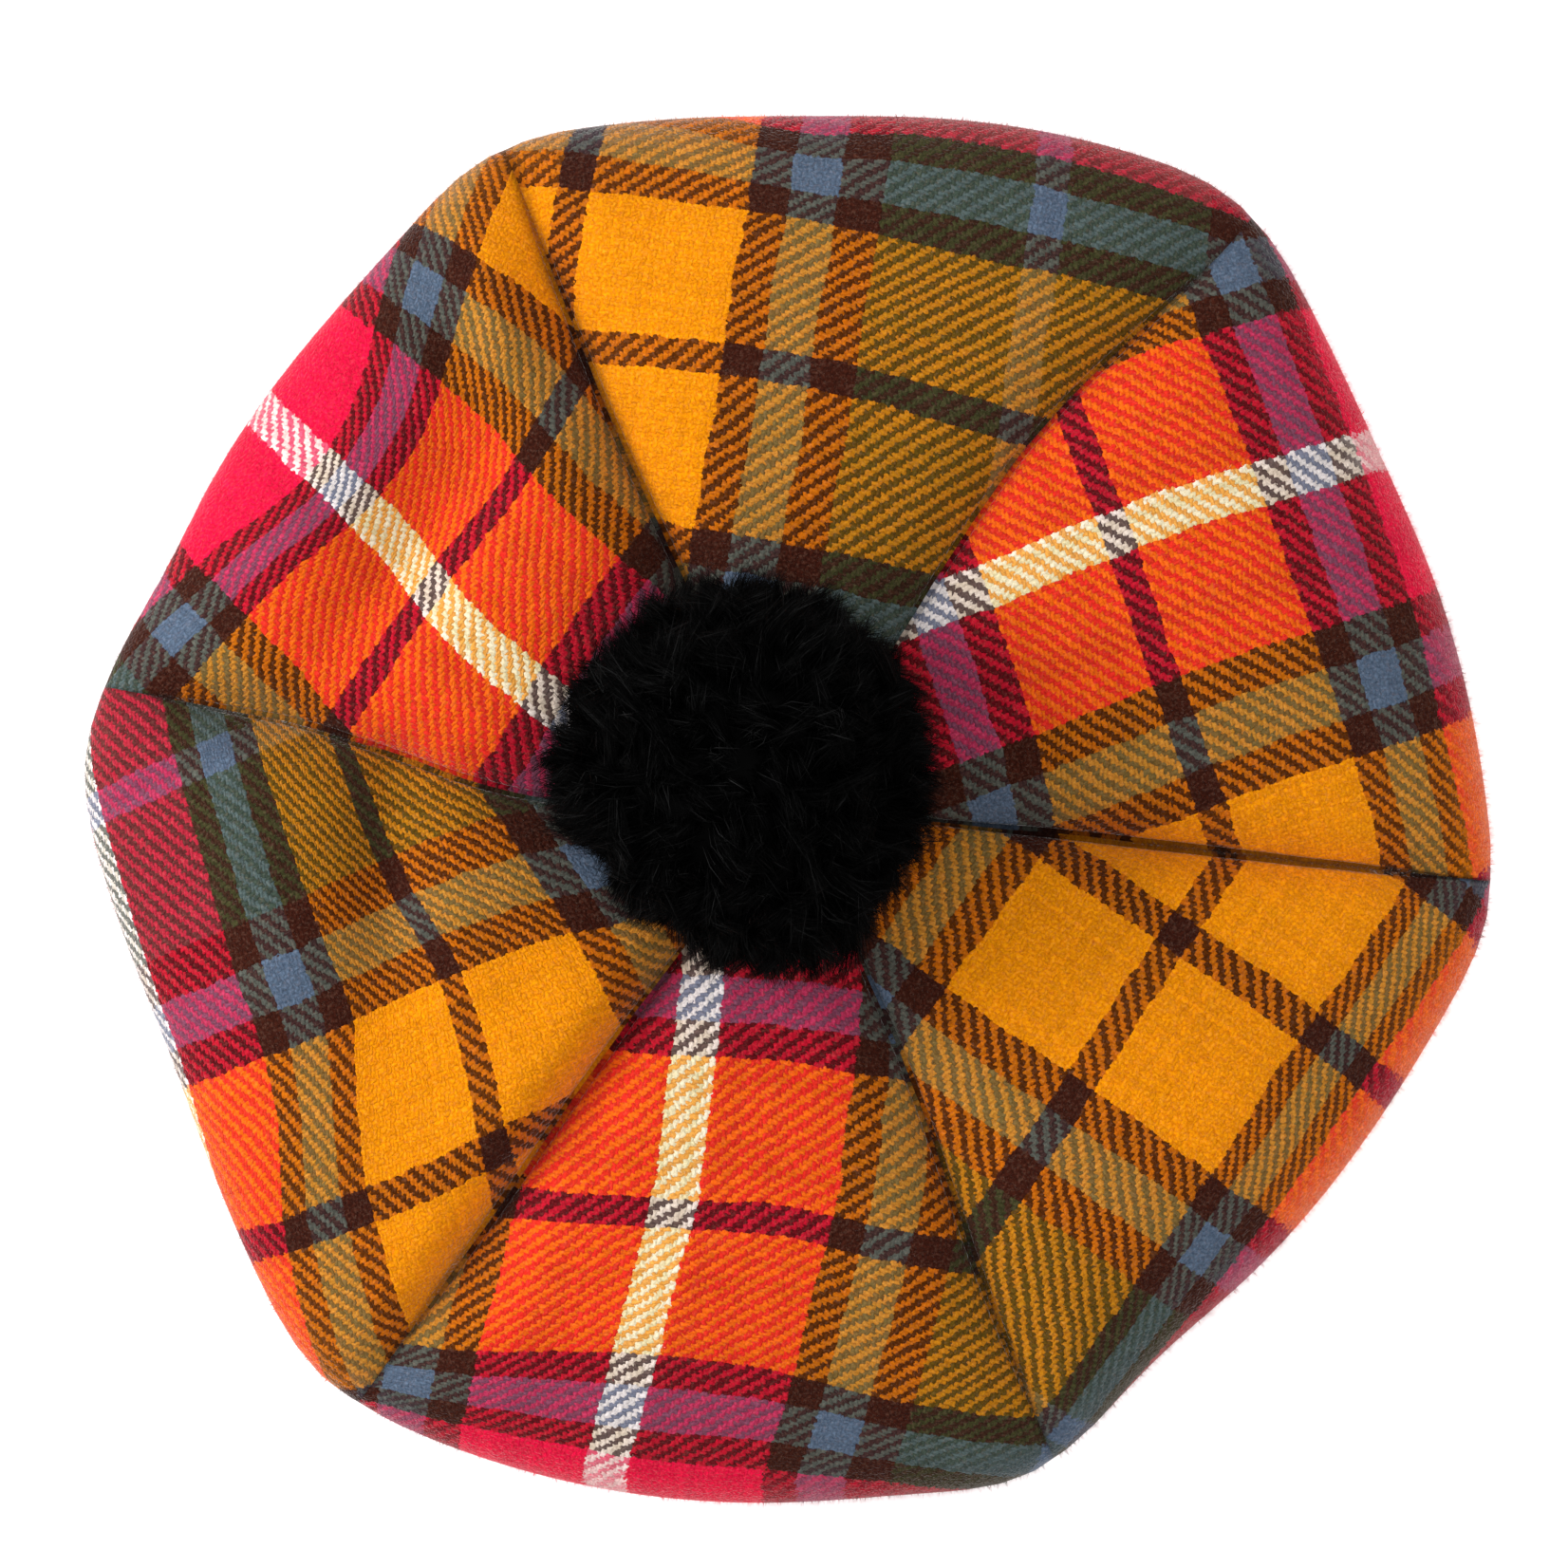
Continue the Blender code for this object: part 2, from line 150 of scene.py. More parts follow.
# One row for each side of the rim: its first corner, its waist, and how sharply the rim falls to
# the waist and rises from it to the next corner
SIDE_COLUMNS = "corner_deg corner_radius corner_height waist_deg waist_radius waist_height fall rise"
Side = namedtuple("Side", SIDE_COLUMNS)
RIM_SIDES = (
    Side(-8.9, 138.9 * MM, 29.0 * MM, 25.7, 132.9 * MM, 29.0 * MM, 2.7, 1.8),
    Side(53.1, 148.4 * MM, 30.0 * MM, 88.2, 134.5 * MM, 29.0 * MM, 1.3, 1.9),
    Side(114.9, 141.8 * MM, 31.0 * MM, 160.3, 129.2 * MM, 33.0 * MM, 4.0, 0.8),
    Side(176.6, 139.0 * MM, 32.0 * MM, 201.5, 129.3 * MM, 34.0 * MM, 1.6, 1.6),
    Side(230.4, 145.1 * MM, 30.0 * MM, 277.6, 134.9 * MM, 30.0 * MM, 1.9, 1.3),
    Side(290.2, 139.8 * MM, 29.0 * MM, 305.7, 127.7 * MM, 28.0 * MM, 1.4, 3.2),
)
CORNER_WEIGHTS = (1.0, 2.0, 3.0, 2.0, 1.0)

# One row for each fold or dent: its middle, which way it runs, its reach along and across, and its
# height
Fold = namedtuple("Fold", "deg radius turn_deg length width height")
FOLDS = (
    Fold(146.0, 88.0 * MM, 90.0, 30.0 * MM, 10.0 * MM, -6.5 * MM),
    Fold(146.0, 112.0 * MM, 90.0, 32.0 * MM, 12.0 * MM, 3.5 * MM),
    Fold(188.0, 78.0 * MM, 82.0, 24.0 * MM, 8.0 * MM, -6.0 * MM),
    Fold(192.0, 104.0 * MM, 90.0, 34.0 * MM, 15.0 * MM, 4.5 * MM),
    Fold(169.5, 110.0 * MM, 0.0, 16.0 * MM, 7.0 * MM, -4.5 * MM),
    Fold(121.0, 112.0 * MM, -14.0, 14.0 * MM, 5.0 * MM, 3.0 * MM),
    Fold(127.0, 109.0 * MM, -14.0, 14.0 * MM, 5.0 * MM, -3.0 * MM),
    Fold(-6.0, 62.0 * MM, 0.0, 10.0 * MM, 6.0 * MM, -2.5 * MM),
    Fold(-6.0, 124.0 * MM, 0.0, 10.0 * MM, 6.0 * MM, -3.5 * MM),
    Fold(257.0, 96.0 * MM, 80.0, 18.0 * MM, 12.0 * MM, 2.5 * MM),
    Fold(226.5, 76.0 * MM, 4.0, 40.0 * MM, 9.0 * MM, 2.8 * MM),
    Fold(242.0, 94.0 * MM, 0.0, 28.0 * MM, 10.0 * MM, 2.0 * MM),
)

# The tartan's sett: threads of each colour, in order across the cloth
SETT = (
    ("white", 8), ("crimson", 28), ("brown", 8), ("slate", 10), ("brown", 8), ("amber", 32),
    ("brown", 8), ("amber", 32), ("brown", 8), ("slate", 10), ("brown", 8), ("moss", 30),
    ("slate", 8), ("moss", 30), ("brown", 8), ("slate", 10), ("brown", 8), ("crimson", 28),
)
SETT_THREADS = sum(count for colour, count in SETT)
THREAD_ACROSS = 0.955 * MM
THREAD_OUT = 0.87 * MM

# The yarns' colours as sRGB hex, and what they are for
Yarn = namedtuple("Yarn", "name code use")
YARNS = (
    Yarn("white", "FFFBF4", "Yarn of the fine line"),
    Yarn("crimson", "EC0F43", "Yarn of the red blocks"),
    Yarn("brown", "3F1A10", "Yarn of the dark guard lines"),
    Yarn("slate", "5B6C82", "Yarn between the guard lines"),
    Yarn("amber", "FC9B04", "Yarn of the orange blocks"),
    Yarn("moss", "3E4A30", "Yarn of the dull green blocks"),
    Yarn("pompom", "080808", "Yarn of the pompom"),
)

# The crown's plain section, along which its cloth is unrolled, and how far to each side of a
# gore's axis its cross stripes are charted
PLAIN_RIM_RADIUS = 134.0 * MM
PLAIN_RIM_HEIGHT = 30.0 * MM
PROFILE_STEPS = 2000
CHARTED_REACH = 75.0 * MM

# Yarns lie close, so each dyed one takes on a share of the tint of the yarn that crosses it, in
# red, green and blue. An undyed yarn, whose blue is high, takes on none.
YARN_BLEED = (0.13, 0.14, 0.3)

# Unlike yarns swallow some light between them, in red, green and blue, and the nap spreads one
# tint over both, so that they differ more in lightness than in hue. They share less of it where
# one is undyed, and where they are alike.
YARN_LOSS = (0.0, 0.3, 0.18)
TINT_SHARED = 0.65
TINT_UNDYED = 0.3
TINT_ALIKE = 0.25
UNDYED_BLUE = (0.3, 0.9)
LIGHTNESS = (0.3, 0.59, 0.11)

# How light the yarns are at their darkest and lightest: by their dye, by the fuzz on them, and by the
# painted shade from the gaps between them up to their backs. FUZZ_NOISE and LINT_NOISE are the span of a
# noise that counts.
YARN_TONES = (0.85, 1.1)
FUZZ_NOISE = (0.3, 0.7)
FUZZ_TONES = (0.52, 1.37)
LINT_NOISE = (0.5, 0.75)
RELIEF_TONES = (0.76, 1.07)
WARP_SEED = 0.25
WEFT_SEED = 0.75

# The 2/2 twill in threads, and how much of the warp's colour shows where it lies under the weft
# and where it lies on top
TWILL_REPEAT = 4.0
TWILL_FLOAT = 2.0
WARP_SHOWS = (0.1, 0.94)

# The yarns' relief and the fuzz's share of it, how full their crests are, how much light comes
# back out of the gaps, and the stray lint
YARN_RELIEF = 0.25 * MM
FUZZ_RELIEF = 0.25
CREST_POWER = 0.5
GLOW_IN_GAPS = 0.5
LINT_COLOUR = (0.06, 0.035, 0.024)

# Grains to the millimetre of the threads' drift, the nap's fringe, its fibres and lint, the
# pompom's clumps and the table. Real wool fibres are about 0.03 mm thick. They are too fine to
# show, and are drawn as coarse as they need to be.
DRIFT_PER_MM = 0.14
FRINGE_PER_MM = 1.1
FIBRES_PER_MM = 1.8
LINT_PER_MM = 1.5
CLUMPS_PER_MM = 0.26
TABLE_GRAIN_PER_MM = 0.3

# How many threads the drift and the fringe reach over, the fringe least inside the crown and most
# where the nap hides the weave
DRIFT_THREADS = 1.6
FRINGE_LEAST = 1.5
FRINGE_MOST = 5.0

# Kinds of node that the materials use most
MATH = "ShaderNodeMath"
VECTOR = "ShaderNodeVectorMath"
RANGE = "ShaderNodeMapRange"
MIX = "ShaderNodeMix"
NOISE = "ShaderNodeTexNoise"

# How each gore was cut from the cloth. axis_deg is the way its stripes run out from the crown's
# centre, thread is the place in the sett of the stripe that guides it, and guide is how far that
# stripe lies to the right of the axis, at each distance of GUIDE_ROWS out along it. rim_pitch is
# the space of the cross threads at the rim, which are closer where the cloth is eased in, and
# right_ease is how much closer the long threads to the right of the guide lie at the rim.
GUIDE_ROWS = (37.0 * MM, 55.5 * MM, 74.0 * MM, 92.5 * MM, 111.0 * MM, 129.5 * MM)
Cut = namedtuple("Cut", "axis_deg thread rim_pitch right_ease guide")
CUTS = (
    Cut(20.0, 4.0, 0.87 * MM, 0.0, (-27.8, -27.9, -28.7, -28.9, -27.8, -27.0)),
    Cut(80.5, 134.0, 0.87 * MM, 0.0, (-27.4, -27.4, -27.0, -27.6, -27.4, -27.4)),
    Cut(144.0, 4.0, 0.87 * MM, 0.16, (-11.5, -10.7, -8.7, -3.5, -0.4, 2.2)),
    Cut(206.0, 134.0, 0.70 * MM, 0.0, (-5.9, -1.8, -0.2, 0.0, 1.1, 2.8)),
    Cut(268.0, 4.0, 0.87 * MM, 0.0, (15.4, 17.2, 18.9, 22.8, 26.8, 31.1)),
    Cut(324.0, 98.0, 0.87 * MM, 0.0, (-24.2, -24.2, -24.6, -25.0, -24.8, -23.7)),
)

# Where four lines of the cross stripes lie on each gore, in mm out along the gore's axis, at
# several places to the right of it. inner and outer are the edges of the amber pair, pair is the
# middle of its brown line, and red is where the crimson begins.
Line = namedtuple("Line", "right inner pair outer red")
LINE_THREADS = (134.0, 98.0, 62.0, 36.0)
CROSS_LINES = (
    (
        Line(-55.5, 50.0, 77.1, 106.6, 126.2),
        Line(-18.5, 49.6, 76.8, 106.7, 126.7),
        Line(0.0, 49.0, 76.4, 106.7, 126.5),
        Line(24.1, 46.6, 76.4, 106.2, 124.3),
        Line(46.3, 45.3, 76.2, 104.9, 121.7),
    ),
    (
        Line(-46.3, 50.9, 82.3, 112.3, 131.0),
        Line(-18.5, 50.0, 83.8, 113.0, 129.5),
        Line(0.0, 49.6, 83.3, 112.1, 132.3),
        Line(27.8, 48.5, 80.3, 110.8, 132.6),
        Line(55.5, 47.2, 78.6, 109.5, 129.5),
    ),
    (
        Line(-37.0, 53.1, 80.5, 107.7, 122.1),
        Line(-24.1, 52.9, 81.0, 105.8, 118.8),
        Line(0.0, 54.8, 81.4, 99.9, 112.3),
        Line(16.7, 55.1, 80.3, 100.1, 114.7),
        Line(37.0, 54.0, 82.0, 107.3, 123.6),
    ),
    (
        Line(-46.3, 49.0, 83.6, 109.2, 127.7),
        Line(-31.5, 48.1, 79.6, 106.4, 124.0),
        Line(-9.3, 47.7, 74.4, 98.1, 114.7),
        Line(0.0, 48.5, 73.4, 94.0, 112.3),
        Line(18.5, 50.9, 74.9, 91.9, 109.5),
        Line(51.8, 54.6, 72.6, 88.0, 104.0),
    ),
    (
        Line(-46.3, 54.6, 87.0, 116.9, 131.7),
        Line(-24.1, 51.8, 84.2, 114.3, 130.1),
        Line(0.0, 48.7, 79.6, 108.8, 128.0),
        Line(22.2, 48.3, 79.0, 106.7, 126.9),
        Line(55.5, 47.7, 78.4, 107.3, 122.1),
    ),
    (
        Line(-46.3, 45.3, 74.0, 106.0, 120.6),
        Line(-18.5, 44.4, 74.9, 106.2, 120.8),
        Line(0.0, 44.2, 75.7, 107.3, 121.5),
        Line(18.5, 44.4, 76.8, 108.2, 121.2),
        Line(46.3, 45.3, 77.7, 108.8, 119.9),
    ),
)

# Head band: its fold, its upper edges, its ripple and the thread of the sett at its lower edge
BAND_FOLD = 0.6 * MM
BAND_EDGE = 0.4 * MM
BAND_RIPPLE = 0.125 * MM
RIPPLES = (9.0, 4.0)
BAND_FIRST_THREAD = 90.0
FOLD_STEPS = 12
BAND_ROWS = 9
BAND_STEPS = 360

# Pompom: cut wool yarn on a core
POMPOM_CENTRE = np.array((-8.9 * MM, 7.0 * MM, 0.0))
POMPOM_RADIUS = 37.4 * MM
POMPOM_SQUASH = 0.9
POMPOM_SINK = 0.24
CORE_SHARE = 0.8
CORE_SUBDIVISIONS = 5

# One row for each place where the pompom's pile stands proud or is pressed in. swell is a share
# of its radius, and it spreads by spread_deg round the pompom's side.
Puff = namedtuple("Puff", "deg spread_deg swell")
PUFFS = (
    Puff(-66.0, 13.0, 0.15),
    Puff(-116.0, 9.0, -0.2),
    Puff(-146.0, 13.0, -0.23),
    Puff(137.0, 14.0, -0.07),
)
PUFF_SHOULDER = 1.4
SEAT_GAP = 0.6 * MM

# How the cut yarn ends stand: how they scatter and lean, and how unevenly they and their fibres
# reach. A fibre roots ROOT_INSET inside the core, bends and thins at BEND_SHARE of its length, and
# its root, bend and tip stay FIBRE_LIFTS above the cloth.
END_SCATTER = 0.02
END_LEAN = 0.15
END_UNEVEN = 0.035
FIBRE_SCATTER = 0.035
FIBRE_SPREAD = 0.034
FIBRE_REACH = 1.005
FIBRE_UNEVEN = 0.03
FIBRE_CRIMP = 0.35 * MM
FIBRE_LIFTS = (0.0, 0.3 * MM, 0.5 * MM)
ROOT_INSET = 0.05
BEND_SHARE = 0.55
BEND_TAPER = 0.8
STRAY_SHARE = 0.05
STRAY_REACH = 1.08
PILE_SEED = 23
# Painted highlight: a few fibres, picked at random, are painted up to GLEAM_STRENGTH times lighter as a grey
# gleam, and GLEAM_RARITY sets how few
GLEAM_RARITY = 8.0
GLEAM_STRENGTH = 9.0

# The picture's size and scale, and the pixel that shows the crown's centre
IMAGE_SIZE = 1652
MM_PER_PIXEL = 0.185
CROWN_PIXEL = (833.0, 851.0)
SENSOR_WIDTH = 36.0
CLIP_END = 20.0

# The stage, in metres and watts
FLOOR_SIZE = 12.0
TABLE_COLOUR = "F8F8F8"
ROOM_LIGHT = 0.62
LAMP_TARGET = (0.0, 0.0, 0.03)
Lamp = namedtuple("Lamp", "name place size power")
LAMPS = (
    Lamp("key_light", (-0.85, 0.22, 0.55), 0.6, 7.2),
    Lamp("top_light", (0.5, 0.0, 1.7), 1.2, 5.0),
)


def smoothstep(low, high, value):
    """Go from 0 at low to 1 at high along a soft S."""
    share = np.clip((value - low) / (high - low), 0.0, 1.0)
    return share * share * (3.0 - 2.0 * share)


def bell(distance):
    """Give a soft bump: 1 at a distance of 0, and near 0 beyond 2."""
    return np.exp(-distance * distance)


def mix(first, second, share):
    """Blend two values."""
    return first + (second - first) * share


def heading(degrees):
    """Give the level unit vectors that point at these degrees from +X."""
    angle = np.radians(degrees)
    return np.stack([np.cos(angle), np.sin(angle), np.zeros_like(angle)], axis=-1)


def unit(vectors):
    """Scale vectors to length 1."""
    return vectors / np.linalg.norm(vectors, axis=-1, keepdims=True)


def smooth_curve(places, knots, values):
    """Read a soft curve through a short table, straight beyond its ends."""
    knots = np.asarray(knots, float)
    values = np.asarray(values, float)
    slopes = np.gradient(values, knots)
    row = np.clip(np.searchsorted(knots, places) - 1, 0, len(knots) - 2)
    width = knots[row + 1] - knots[row]
    t = np.clip((places - knots[row]) / width, 0.0, 1.0)
    curve = (2 * t**3 - 3 * t**2 + 1) * values[row] + (t**3 - 2 * t**2 + t) * width * slopes[row]
    curve += (3 * t**2 - 2 * t**3) * values[row + 1] + (t**3 - t**2) * width * slopes[row + 1]
    beyond = places - np.clip(places, knots[0], knots[-1])
    return curve + beyond * np.where(beyond < 0.0, slopes[0], slopes[-1])


def seam_degrees(index, fraction):
    """Give a seam's direction at a fraction of the way out. Seam 6 is seam 0, one turn on."""
    turns, row = divmod(index, len(SEAMS))
    seam = SEAMS[row]
    share = smoothstep(seam.turn_at - SEAM_TURN_SPREAD, seam.turn_at + SEAM_TURN_SPREAD, fraction)
    return mix(seam.crown_deg, seam.rim_deg, share) + 360.0 * turns


def rim_at(degrees):
    """Give the rim's bare radius and height in each direction."""
    first = RIM_SIDES[0].corner_deg
    degrees = (degrees - first) % 360.0 + first
    radius = np.zeros_like(degrees)
    height = np.zeros_like(degrees)
    for row, side in enumerate(RIM_SIDES):
        after = RIM_SIDES[(row + 1) % len(RIM_SIDES)]
        end_deg = after.corner_deg + (360.0 if row + 1 == len(RIM_SIDES) else 0.0)
        halves = ((side, side.corner_deg, side.fall), (after, end_deg, side.rise))
        for corner, corner_deg, power in halves:
            share = (degrees - side.waist_deg) / (corner_deg - side.waist_deg)
            here = (share >= 0.0) & (share <= 1.0)
            radius[here] = mix(side.waist_radius, corner.corner_radius, share[here] ** power)
            height[here] = mix(side.waist_height, corner.corner_height, smoothstep(0.0, 1.0, share[here]))
    return radius, height


def soft_rim_at(degrees):
    """Give the rim's radius and height with its corners rounded by averaging nearby directions."""
    radius = np.zeros_like(degrees)
    height = np.zeros_like(degrees)
    for i, weight in enumerate(CORNER_WEIGHTS):
        bare_radius, bare_height = rim_at(degrees + (i - len(CORNER_WEIGHTS) // 2) * RIM_SMOOTHING_DEG)
        radius += weight / sum(CORNER_WEIGHTS) * bare_radius
        height += weight / sum(CORNER_WEIGHTS) * bare_height
    return radius, height


def rim_notch(degrees, rim_radius):
    """Give how far the seams pull the rim in."""
    notch = np.zeros_like(degrees)
    for seam in SEAMS:
        gap = (degrees - seam.rim_deg + 180.0) % 360.0 - 180.0
        distance = np.radians(gap) * rim_radius / np.where(gap < 0.0, seam.before, seam.after)
        notch += SEAM_NOTCH * seam.valley / SEAMS[0].valley * bell(distance)
    return notch


def fold_lift(radius, degrees):
    """Add up the dents and puffs of the crown."""
    place = radius[..., None] * heading(degrees)
    lift = np.zeros_like(radius)
    for fold in FOLDS:
        offset = place - fold.radius * heading(np.float64(fold.deg))
        along = offset @ heading(np.float64(fold.deg + fold.turn_deg)) / fold.length
        across = offset @ heading(np.float64(fold.deg + fold.turn_deg + 90.0)) / fold.width
        lift += fold.height * np.exp(-along * along - across * across)
    return lift


def seam_distances(index, across, radius, fraction):
    """Give the distances to a gore's right and left seams."""
    span = np.radians(seam_degrees(index + 1, fraction) - seam_degrees(index, fraction))
    return across * span * radius, (1.0 - across) * span * radius


def unevenness(places):
    """Give the soft unevenness of the cloth at places."""
    x = places[..., 0]
    y = places[..., 1]
    lift = np.zeros_like(x)
    for wave in WAVES:
        crests = np.sin(x / wave.length_x + wave.sway_x * np.sin(y / wave.every_y))
        lift += wave.height * crests * np.sin(y / wave.length_y + wave.sway_y * np.sin(x / wave.every_x))
    return lift


def crown_top(index, across, fraction):
    """Give points of a gore's upper side, their directions, and the rim's radius there."""
    degrees = mix(seam_degrees(index, fraction), seam_degrees(index + 1, fraction), across)
    rim_radius, rim_height = soft_rim_at(degrees)
    radius = fraction * (rim_radius - rim_notch(degrees, rim_radius))
    flat = np.sqrt(np.clip(1.0 - fraction**CROWN_FLATNESS, 0.0, 1.0))
    height = rim_height + (CROWN_HEIGHT - rim_height) * flat
    arch = (4.0 * across * (1.0 - across)) ** SWELL_ROUNDNESS
    lift = GORE_SWELL * arch * smoothstep(*SWELL_FADE, fraction)
    fade = smoothstep(*SEAM_FADE, fraction)
    right, left = seam_distances(index, across, radius, fraction)
    first = SEAMS[index]
    last = SEAMS[(index + 1) % len(SEAMS)]
    lift = lift - fade * first.valley * bell(right / first.after)
    lift = lift - fade * last.valley * bell(left / last.before)
    lift = lift - CENTRE_DIP * bell(radius / CENTRE_DIP_RADIUS) + fold_lift(radius, degrees)
    place = radius[..., None] * heading(degrees)
    lift = lift + unevenness(place) * smoothstep(*WAVE_FADE, fraction)
    height = height + lift * (1.0 - fraction**RIM_FADE)
    place = CROWN_CENTRE + place
    place[..., 2] += height
    return place, degrees, rim_radius


def crown_under(rim, degrees, share):
    """Give points of the underside, from the rim at 0 to its lip's inner edge at 1."""
    outward = heading(degrees)
    up = np.array((0.0, 0.0, 1.0))
    edge = BAND_OUTER_RADIUS * outward + (BAND_HEIGHT + PIECE_GAP) * up
    fall = rim - UNDERSIDE_DROP * up
    reach = fall - UNDERSIDE_REACH * outward
    t = np.clip(share / UNDERSIDE_LIP, 0.0, 1.0)[..., None]
    s = 1.0 - t
    bend = s**3 * rim + 3.0 * s * s * t * fall + 3.0 * s * t * t * reach + t**3 * edge
    lip = np.clip((share - UNDERSIDE_LIP) / (1.0 - UNDERSIDE_LIP), 0.0, 1.0)[..., None]
    return bend - lip * LIP_WIDTH * outward


def unrolled_profile():
    """Give the length along the crown's plain section against its radius, both over the rim's."""
    share = np.linspace(0.0, 1.0, PROFILE_STEPS + 1)
    drop = (CROWN_HEIGHT - PLAIN_RIM_HEIGHT) / PLAIN_RIM_RADIUS
    height = drop * np.sqrt(np.clip(1.0 - share**CROWN_FLATNESS, 0.0, 1.0))
    steps = np.hypot(np.diff(share), np.diff(height))
    return share, np.concatenate([[0.0], np.cumsum(steps)])


PROFILE_SHARE, PROFILE_LENGTH = unrolled_profile()


def unrolled(radius, degrees):
    """Give the length of cloth from the crown's centre out to a radius on its upper side."""
    rim_radius = soft_rim_at(degrees)[0]
    share = radius / rim_radius
    beyond = np.clip(share - 1.0, 0.0, None)
    return rim_radius * (np.interp(share, PROFILE_SHARE, PROFILE_LENGTH) + beyond)


def unrolled_place(index, right, out):
    """Move table places of a gore, right of its axis and out along it, to the unrolled cloth."""
    right = np.asarray(right, float)
    out = np.asarray(out, float)
    degrees = CUTS[index].axis_deg - np.degrees(np.arctan2(right, out))
    radius = np.hypot(right, out)
    scale = unrolled(radius, degrees) / radius
    return right * scale, out * scale


def threads_at(index, length, degrees):
    """Give the warp and weft thread counts at unrolled places of a gore."""
    cut = CUTS[index]
    turn = np.radians(degrees - cut.axis_deg)
    right = -length * np.sin(turn)
    out = length * np.cos(turn)
    guide_right, guide_out = unrolled_place(index, np.array(cut.guide) * MM, GUIDE_ROWS)
    held = np.clip(out, guide_out[0], guide_out[-1])
    beside = (right - smooth_curve(held, guide_out, guide_right)) / THREAD_ACROSS
    eased = cut.right_ease * smoothstep(guide_out[2], guide_out[5], out)
    warp = cut.thread + beside * np.where(beside > 0.0, 1.0 + eased, 1.0)
    charted = np.clip(right, -CHARTED_REACH, CHARTED_REACH)
    lines = []
    for name in ("inner", "pair", "outer", "red"):
        stations = [(row.right * MM, getattr(row, name) * MM) for row in CROSS_LINES[index]]
        line_right, line_out = unrolled_place(index, *zip(*stations))
        lines.append(smooth_curve(charted, line_right, line_out))
    weft = LINE_THREADS[0] + (lines[0] - out) / THREAD_OUT
    for k in range(len(lines) - 1):
        pitch = (lines[k + 1] - lines[k]) / (LINE_THREADS[k] - LINE_THREADS[k + 1])
        weft = np.where(out > lines[k], LINE_THREADS[k] - (out - lines[k]) / pitch, weft)
    weft = np.where(out > lines[-1], LINE_THREADS[-1] - (out - lines[-1]) / cut.rim_pitch, weft)
    return np.stack([warp, weft], axis=-1)


def gore_columns():
    """List how far across a gore each column stands, closer together at the seams."""
    k = np.arange(STEPS_ACROSS + 1) / STEPS_ACROSS
    return k - SEAM_CROWDING / (2.0 * math.pi) * np.sin(2.0 * math.pi * k)


def gore_grid(index):
    """Give a gore's outer points in rows from the centre to the head band, with their thread
    counts, how far across they stand and the gore's width there."""
    steps = 1.0 - (1.0 - np.arange(STEPS_TOP + 1) / STEPS_TOP) ** RIM_CROWDING
    steps[: len(HOLE_ROWS)] = CROWN_HOLE * np.array(HOLE_ROWS)
    across, fraction = np.meshgrid(gore_columns(), np.sort(steps))
    top, degrees, rim_radius = crown_top(index, across, fraction)
    length = unrolled(fraction * rim_radius, degrees)
    shares = np.concatenate([np.linspace(0.0, UNDERSIDE_LIP, STEPS_UNDER)[1:], LIP_ROWS])
    across_low, share = np.meshgrid(gore_columns(), shares)
    under_degrees = np.broadcast_to(degrees[-1], share.shape)
    under = crown_under(top[-1], under_degrees, share)
    walk = np.linalg.norm(np.diff(np.concatenate([top[-1:], under]), axis=0), axis=-1)
    places = np.concatenate([top, under])
    lengths = np.concatenate([length, length[-1] + np.cumsum(walk, axis=0)])
    turns = np.concatenate([degrees, under_degrees])
    plan = np.linalg.norm(places[..., :2] - CROWN_CENTRE[:2], axis=-1)
    span = np.radians(seam_degrees(index + 1, 1.0) - seam_degrees(index, 1.0))
    width = span * np.minimum(plan, WIDEST_RADIUS)
    return places, threads_at(index, lengths, turns), np.concatenate([across, across_low]), width


def grid_normals(places, before, after):
    """Give outward normals of a gore's grid, reading across the seams from its neighbours."""
    wide = np.concatenate([before[:, -2:-1], places, after[:, 1:2]], axis=1)
    return unit(np.cross(np.gradient(places, axis=0), wide[:, 2:] - wide[:, :-2]))


def link_mesh(name, points, faces, uv=None, smooth=True):
    """Make a mesh object from arrays, with an optional thread map for its points."""
    mesh = bpy.data.meshes.new(name)
    mesh.from_pydata(points.reshape(-1, 3), [], faces)
    if uv is not None:
        corners = np.zeros(len(mesh.loops), np.int32)
        mesh.loops.foreach_get("vertex_index", corners)
        layer = mesh.uv_layers.new(name="threads")
        layer.data.foreach_set("uv", uv.reshape(-1, 2)[corners].astype(np.float32).ravel())
    if smooth:
        mesh.shade_smooth()
    piece = bpy.data.objects.new(name, mesh)
    bpy.context.scene.collection.objects.link(piece)
    return piece


def shell_faces(rows, columns):
    """List the faces of a closed shell of two point grids, the outer one first."""
    index = np.arange(rows * columns).reshape(rows, columns)
    inner = index + rows * columns
    quads = [
        np.stack([index[:-1, :-1], index[1:, :-1], index[1:, 1:], index[:-1, 1:]], axis=-1),
        np.stack([inner[:-1, :-1], inner[:-1, 1:], inner[1:, 1:], inner[1:, :-1]], axis=-1),
        np.stack([index[:-1, 0], inner[:-1, 0], inner[1:, 0], index[1:, 0]], axis=-1),
        np.stack([index[:-1, -1], index[1:, -1], inner[1:, -1], inner[:-1, -1]], axis=-1),
        np.stack([index[0, :-1], index[0, 1:], inner[0, 1:], inner[0, :-1]], axis=-1),
        np.stack([index[-1, :-1], inner[-1, :-1], inner[-1, 1:], index[-1, 1:]], axis=-1),
    ]
    return np.concatenate([q.reshape(-1, 4) for q in quads])


def colour_from_hex(code):
    """Turn an sRGB hex colour to linear RGB."""
    values = [int(code[i : i + 2], 16) / 255.0 for i in (0, 2, 4)]
    return [v / 12.92 if v <= 0.04045 else ((v + 0.055) / 1.055) ** 2.4 for v in values]


